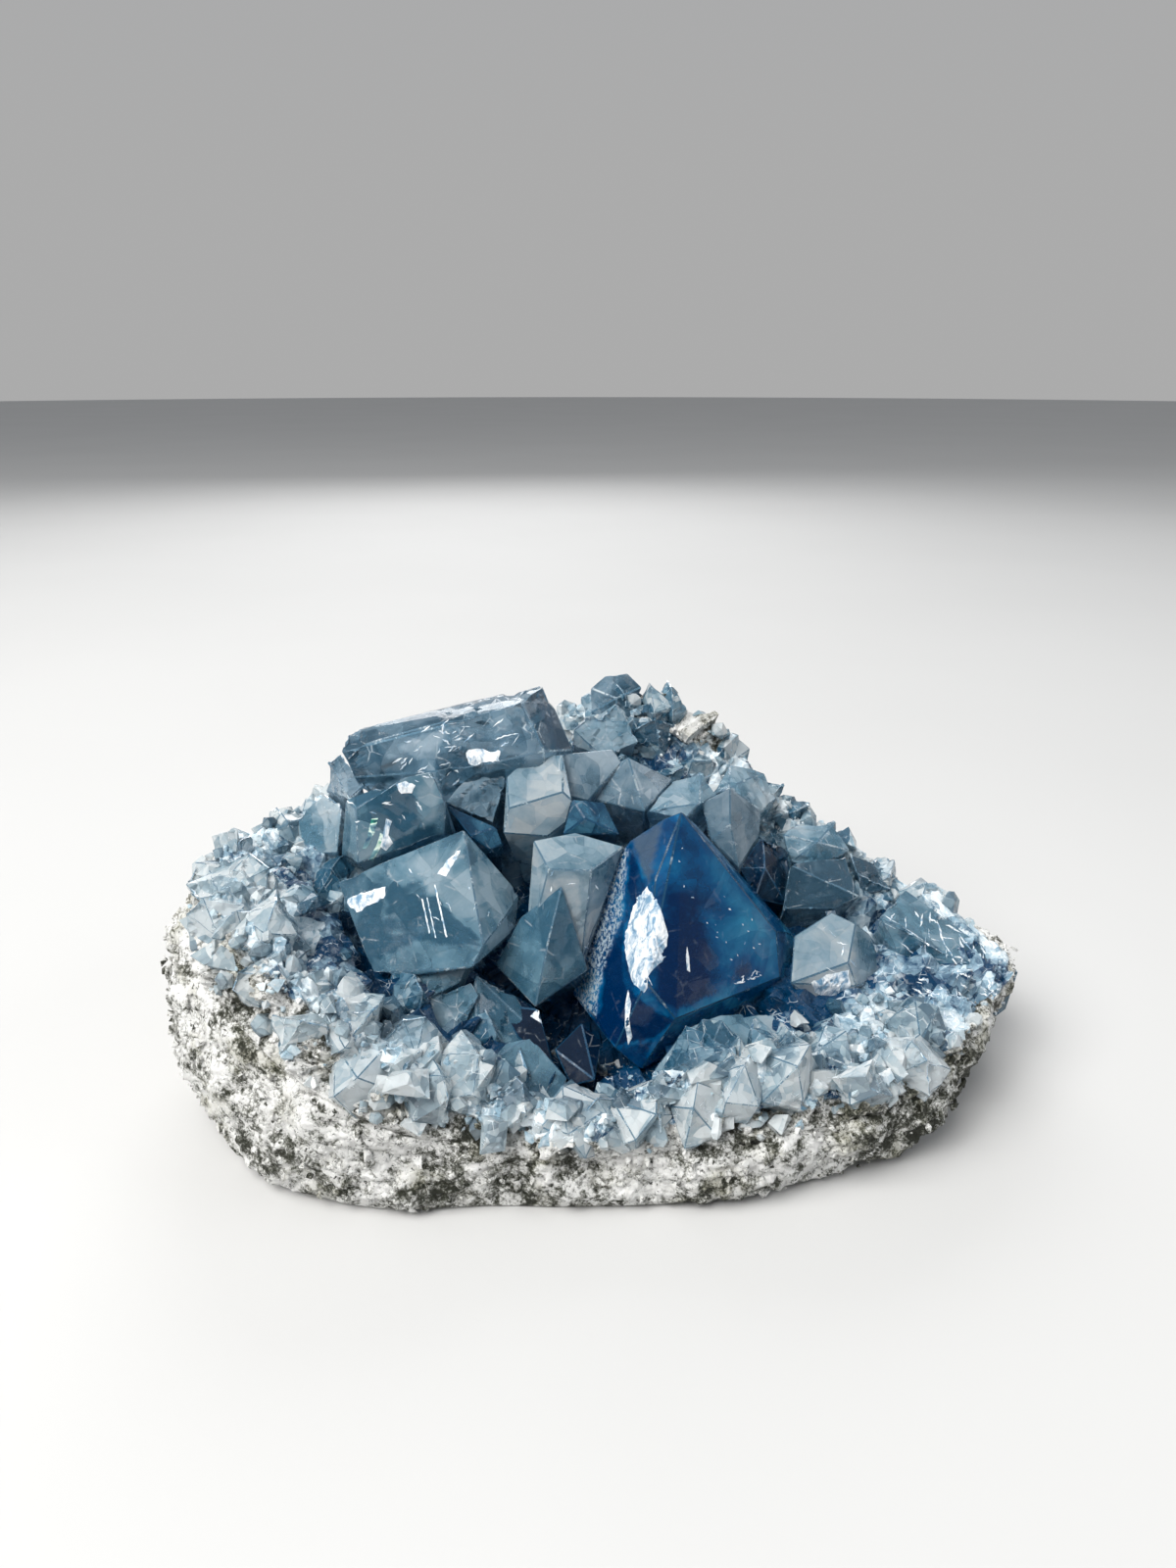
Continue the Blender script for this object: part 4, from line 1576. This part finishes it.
class CELESTITE_OT_crust(Operator):
    """Builds the crust of massive crystal that all crystals grow from"""

    bl_idname = "celestite.crust"
    bl_label = "Crystal crust"

    def execute(self, context):
        mesh = bmesh.new()
        depth = mesh.verts.layers.float.new("depth")
        stone = mesh.verts.layers.float.new("stone")
        azimuths = [360.0 * i / CRUST_AROUND for i in range(CRUST_AROUND)]
        under = []
        for azimuth in azimuths:
            seam = bowl_value(SEAM_R, azimuth)
            vertex = mesh.verts.new(at_angle(seam - 2.5, azimuth, bowl_value(SEAM_Z, azimuth) - CRUST_SUNK))
            vertex[stone] = 1.0
            under.append(vertex)
        rings = [under]
        for place in [2.0 * i / CRUST_ACROSS for i in range(CRUST_ACROSS)]:
            ring = []
            for azimuth in azimuths:
                vertex = mesh.verts.new(crust_point(azimuth, place))
                vertex[depth] = depth_of(azimuth, place)
                vertex[stone] = stone_share(azimuth, place)
                ring.append(vertex)
            rings.append(ring)
        ring_faces(mesh, rings)
        top = mesh.verts.new(crust_surface(0.0, 2.0))
        top[depth] = 0.5
        base = mesh.verts.new((0.0, 0.0, 8.0))
        for i, j in around(CRUST_AROUND):
            mesh.faces.new((rings[-1][i], rings[-1][j], top))
            mesh.faces.new((rings[0][j], rings[0][i], base))
        bmesh.ops.triangulate(mesh, faces=mesh.faces[:])
        painted(mesh, "crust")
        to_frame(mesh)
        material = crust_material(context.scene.celestite_crystals, context.scene.celestite_rock)
        crust = mesh_object("crust", mesh, [material])
        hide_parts("crystals")
        finished(crust)
        return {"FINISHED"}


class CELESTITE_OT_crystals(Operator):
    """Builds the large and middle-sized crystals, each as its own piece"""

    bl_idname = "celestite.crystals"
    bl_label = "Large crystals"

    def execute(self, context):
        edge = context.scene.celestite_crystals.edge / MM
        shapes = {name: large_points(shape) for name, shape in LARGE.items()}
        shapes.update({name: middle_points(points) for name, points in MIDDLE.items()})
        for number, (name, points) in enumerate(shapes.items()):
            mesh = worn(hull_mesh(points), edge)
            if name in BROKEN:
                amount, across, share = BROKEN[name]
                broken(mesh, amount, across, share, 3.0 + number)
            if name in TINTS:
                divided(mesh, 1.0)
            painted(mesh, name)
            to_frame(mesh, 1.0)
            finish = next(finish for finish, names in FINISH.items() if name in names)
            finishes = [finish_material(finish), edge_material(finish in ("deep", "dark"))]
            finished(mesh_object("crystal_" + name, mesh, finishes))
        return {"FINISHED"}


class CELESTITE_OT_bruises(Operator):
    """Builds the bright white bruises on the crystals"""

    bl_idname = "celestite.bruises"
    bl_label = "White bruises"

    def execute(self, context):
        draw = random.Random(23)
        white = white_material()
        joined("white_bruises", [bruise_mesh(name, outline, 0.12) for name, outline in BRUISES], [white])
        made = []
        for name, region, count, length, width, angle in FRACTURES:
            rows = [Vector(p) for p in region]
            for _ in range(count):
                made.append(bruise_mesh(name, fracture_outline(draw, rows, length, width, angle), 0.1))
        joined("white_fractures", made, [white])
        made = [bruise_mesh(name, outline, 0.1) for name, outline in RAINBOWS]
        joined("rainbow_fractures", made, [rainbow_material()])
        return {"FINISHED"}


class CELESTITE_OT_small(Operator):
    """Builds the smaller crystals along the rim and the back"""

    bl_idname = "celestite.small"
    bl_label = "Smaller crystals"

    def execute(self, context):
        draw = random.Random(11)
        shades = random.Random(12)
        clear = []
        milky = []
        for first, last, low, high, count, wide, stand in SMALL:
            for i in range(count):
                azimuth = first + (last - first) * (i + draw.uniform(0.15, 0.85)) / count
                place = low + (high - low) * draw.random()
                point = crust_surface(azimuth, place)
                lean = Vector([draw.uniform(-LEAN, LEAN) for _ in range(3)])
                axis = (crust_normal(azimuth, place) + lean).normalized()
                width = wide * draw.uniform(0.75, 1.3)
                tip = point + axis * stand * draw.uniform(0.6, 1.25)
                foot = point - axis * width * FOOT_DEPTH
                thin = width * draw.uniform(0.6, 0.95)
                roll = draw.uniform(0.0, math.pi)
                hides = tip.y < 6.0 and covered(tip, KEPT_CLEAR)
                if hides or in_picture(azimuth, place, KEPT_CLEAR + STONE_PATCHES):
                    continue
                mesh = worn(hull_mesh(column_points(foot, tip, width, thin, roll)), 0.12)
                broken(mesh, 1.3, 3.0, 0.5, 60.0 + len(clear) + len(milky))
                tone = mesh.verts.layers.float.new("tone")
                shade = shades.uniform(0.1, 0.8) * (1.0 - 0.5 * depth_of(azimuth, place + 0.1))
                if covered(point, DEEPER_PARTS):
                    shade -= DEEPER
                for vertex in mesh.verts:
                    vertex[tone] = shade
                to_frame(mesh, 1.0)
                (milky if len(clear) > 2 * len(milky) else clear).append(mesh)
        joined("small_crystals_clear", clear, [finish_material("small"), edge_material()])
        joined("small_crystals_milky", milky, [finish_material("milky"), edge_material()])
        return {"FINISHED"}


class CELESTITE_OT_fragments(Operator):
    """Scatters broken fragments of crystal over the crust"""

    bl_idname = "celestite.fragments"
    bl_label = "Broken fragments"

    def execute(self, context):
        settings = context.scene.celestite_crystals
        largest = settings.fragment

        def along_rim(azimuth, place):
            if in_picture(azimuth, place, KEPT_CLEAR):
                return 0.0
            return (1.0 - 0.96 * ramp(place, 1.0, 1.22)) * (1.0 - 0.75 * stone_share(azimuth, place))

        scattered(
            "fragments_clear", crust_patch(along_rim), finish_material("small"),
            1.8 * MM, 250000.0, largest * 0.4, largest * 1.5, 0.7, settings.seed,
        )
        scattered(
            "fragments_frosted", crust_patch(along_rim), frosted_material(),
            1.1 * MM, 450000.0, largest * 0.15, largest * 0.6, 0.9, settings.seed + 1,
        )
        return {"FINISHED"}


class CELESTITE_OT_grains(Operator):
    """Scatters grains of rock over the rock and over the crust's outer edge"""

    bl_idname = "celestite.grains"
    bl_label = "Rock grains"

    def execute(self, context):
        settings = context.scene.celestite_rock
        seed = context.scene.celestite_crystals.seed
        material = rock_material("rock grains", settings, True)
        mesh = copy_of("matrix")
        cover = mesh.verts.layers.float.new("cover")
        for vertex in mesh.verts:
            vertex[cover] = 0.55 if vertex.co.z > 1.5 * MM else 0.0
        size = settings.grain_size
        scattered(
            "rock_grains_low", mesh_object("host", mesh), material,
            size * 0.7, 700000.0, size * 0.25, size * 1.3, 0.3, seed + 2, True,
        )
        scattered(
            "rock_grains_high", crust_patch(stone_share), material,
            size * 0.7, 800000.0, size * 0.25, size * 1.5, 0.4, seed + 3, True,
        )
        return {"FINISHED"}


class CELESTITE_OT_stage(Operator):
    """Sets the floor, the light and the camera"""

    bl_idname = "celestite.stage"
    bl_label = "Floor, light and camera"

    def execute(self, context):
        settings = context.scene.celestite_stage
        scene = context.scene
        self.floor(settings.floor)
        for name, place, width, power, colour in LIGHTS:
            data = bpy.data.lights.new(name, "AREA")
            data.shape = "DISK"
            data.size = width
            data.energy = settings.key * power
            data.color = colour
            lamp = bpy.data.objects.new(name, data)
            scene.collection.objects.link(lamp)
            lamp.location = place
            away = Vector(place) - Vector((0.0, 0.0, 0.03))
            lamp.rotation_euler = away.to_track_quat("Z", "Y").to_euler()
            lamp.visible_glossy = name != "main_light"
        scene.world = self.room(settings.sky)
        camera = bpy.data.cameras.new("camera")
        camera.sensor_width = SENSOR
        camera.lens = FOCAL_PIXELS / PICTURE[1] * SENSOR
        camera.clip_start = 0.01
        camera.clip_end = 20.0
        holder = bpy.data.objects.new("camera", camera)
        scene.collection.objects.link(holder)
        holder.location = EYE_IN_FRAME
        holder.rotation_euler = (math.pi / 2 - LOOKS_DOWN, 0.0, 0.0)
        scene.camera = holder
        scene.view_settings.view_transform = "Standard"
        return {"FINISHED"}

    def room(self, strength):
        """Even light from all round, darker before the cluster than behind and above it."""
        world = bpy.data.worlds.new("soft room")
        world.use_nodes = True
        nodes = Nodes(world.node_tree)
        coordinates = nodes.add("ShaderNodeTexCoord").outputs["Generated"]
        way = nodes.add("ShaderNodeSeparateXYZ", {0: coordinates}).outputs
        level = nodes.mix(nodes.ramp(way["Y"], -0.7, 0.3), (0.16, 0.17, 0.19), (0.66, 0.66, 0.66))
        colour = nodes.mix(nodes.ramp(way["Z"], 0.15, 0.8), level, (0.62, 0.64, 0.67))
        shade = nodes.tree.nodes["Background"]
        nodes.put(shade.inputs["Color"], colour)
        nodes.put(shade.inputs["Strength"], strength)
        return world

    def floor(self, tone):
        """A wide round pale floor."""
        mesh = bmesh.new()
        bmesh.ops.create_circle(mesh, cap_ends=True, radius=4.0, segments=128)
        bmesh.ops.triangulate(mesh, faces=mesh.faces[:])
        for face in mesh.faces:
            if face.normal.z < 0:
                face.normal_flip()
        look = Look("pale floor")
        share = look.ramp(look.noise(look.place(), 6.0, 3.0, 0.5), 0.3, 0.7)
        look.surface(Base_Color=look.mix(share, tone, [c * 0.97 for c in tone]), Roughness=0.85)
        mesh_object("floor", mesh, [look.made])


class CELESTITE_PT_panel(Panel):
    """Lists the pieces of the celestite cluster"""

    bl_idname = "CELESTITE_PT_panel"
    bl_label = "Celestite cluster"
    bl_space_type = "VIEW_3D"
    bl_region_type = "UI"
    bl_category = "Celestite"

    def draw(self, context):
        column = self.layout.column()
        for operator in OPERATORS:
            column.operator(operator.bl_idname)
        for group in SETTINGS:
            settings = getattr(context.scene, group)
            box = self.layout.box()
            for name in settings.__annotations__:
                box.prop(settings, name)


OPERATORS = (
    CELESTITE_OT_rock,
    CELESTITE_OT_crust,
    CELESTITE_OT_crystals,
    CELESTITE_OT_bruises,
    CELESTITE_OT_small,
    CELESTITE_OT_fragments,
    CELESTITE_OT_grains,
    CELESTITE_OT_stage,
)
SETTINGS = {
    "celestite_rock": RockSettings,
    "celestite_crystals": CrystalSettings,
    "celestite_stage": StageSettings,
}


def register():
    for item in (*SETTINGS.values(), *OPERATORS, CELESTITE_PT_panel):
        bpy.utils.register_class(item)
    for name, item in SETTINGS.items():
        setattr(bpy.types.Scene, name, PointerProperty(type=item))


def unregister():
    for name in SETTINGS:
        delattr(bpy.types.Scene, name)
    for item in (CELESTITE_PT_panel, *reversed(OPERATORS), *SETTINGS.values()):
        bpy.utils.unregister_class(item)


def main():
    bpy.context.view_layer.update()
    register()
    for operator in OPERATORS:
        group, name = operator.bl_idname.split(".")
        getattr(getattr(bpy.ops, group), name)()


if __name__ == "__main__":
    main()
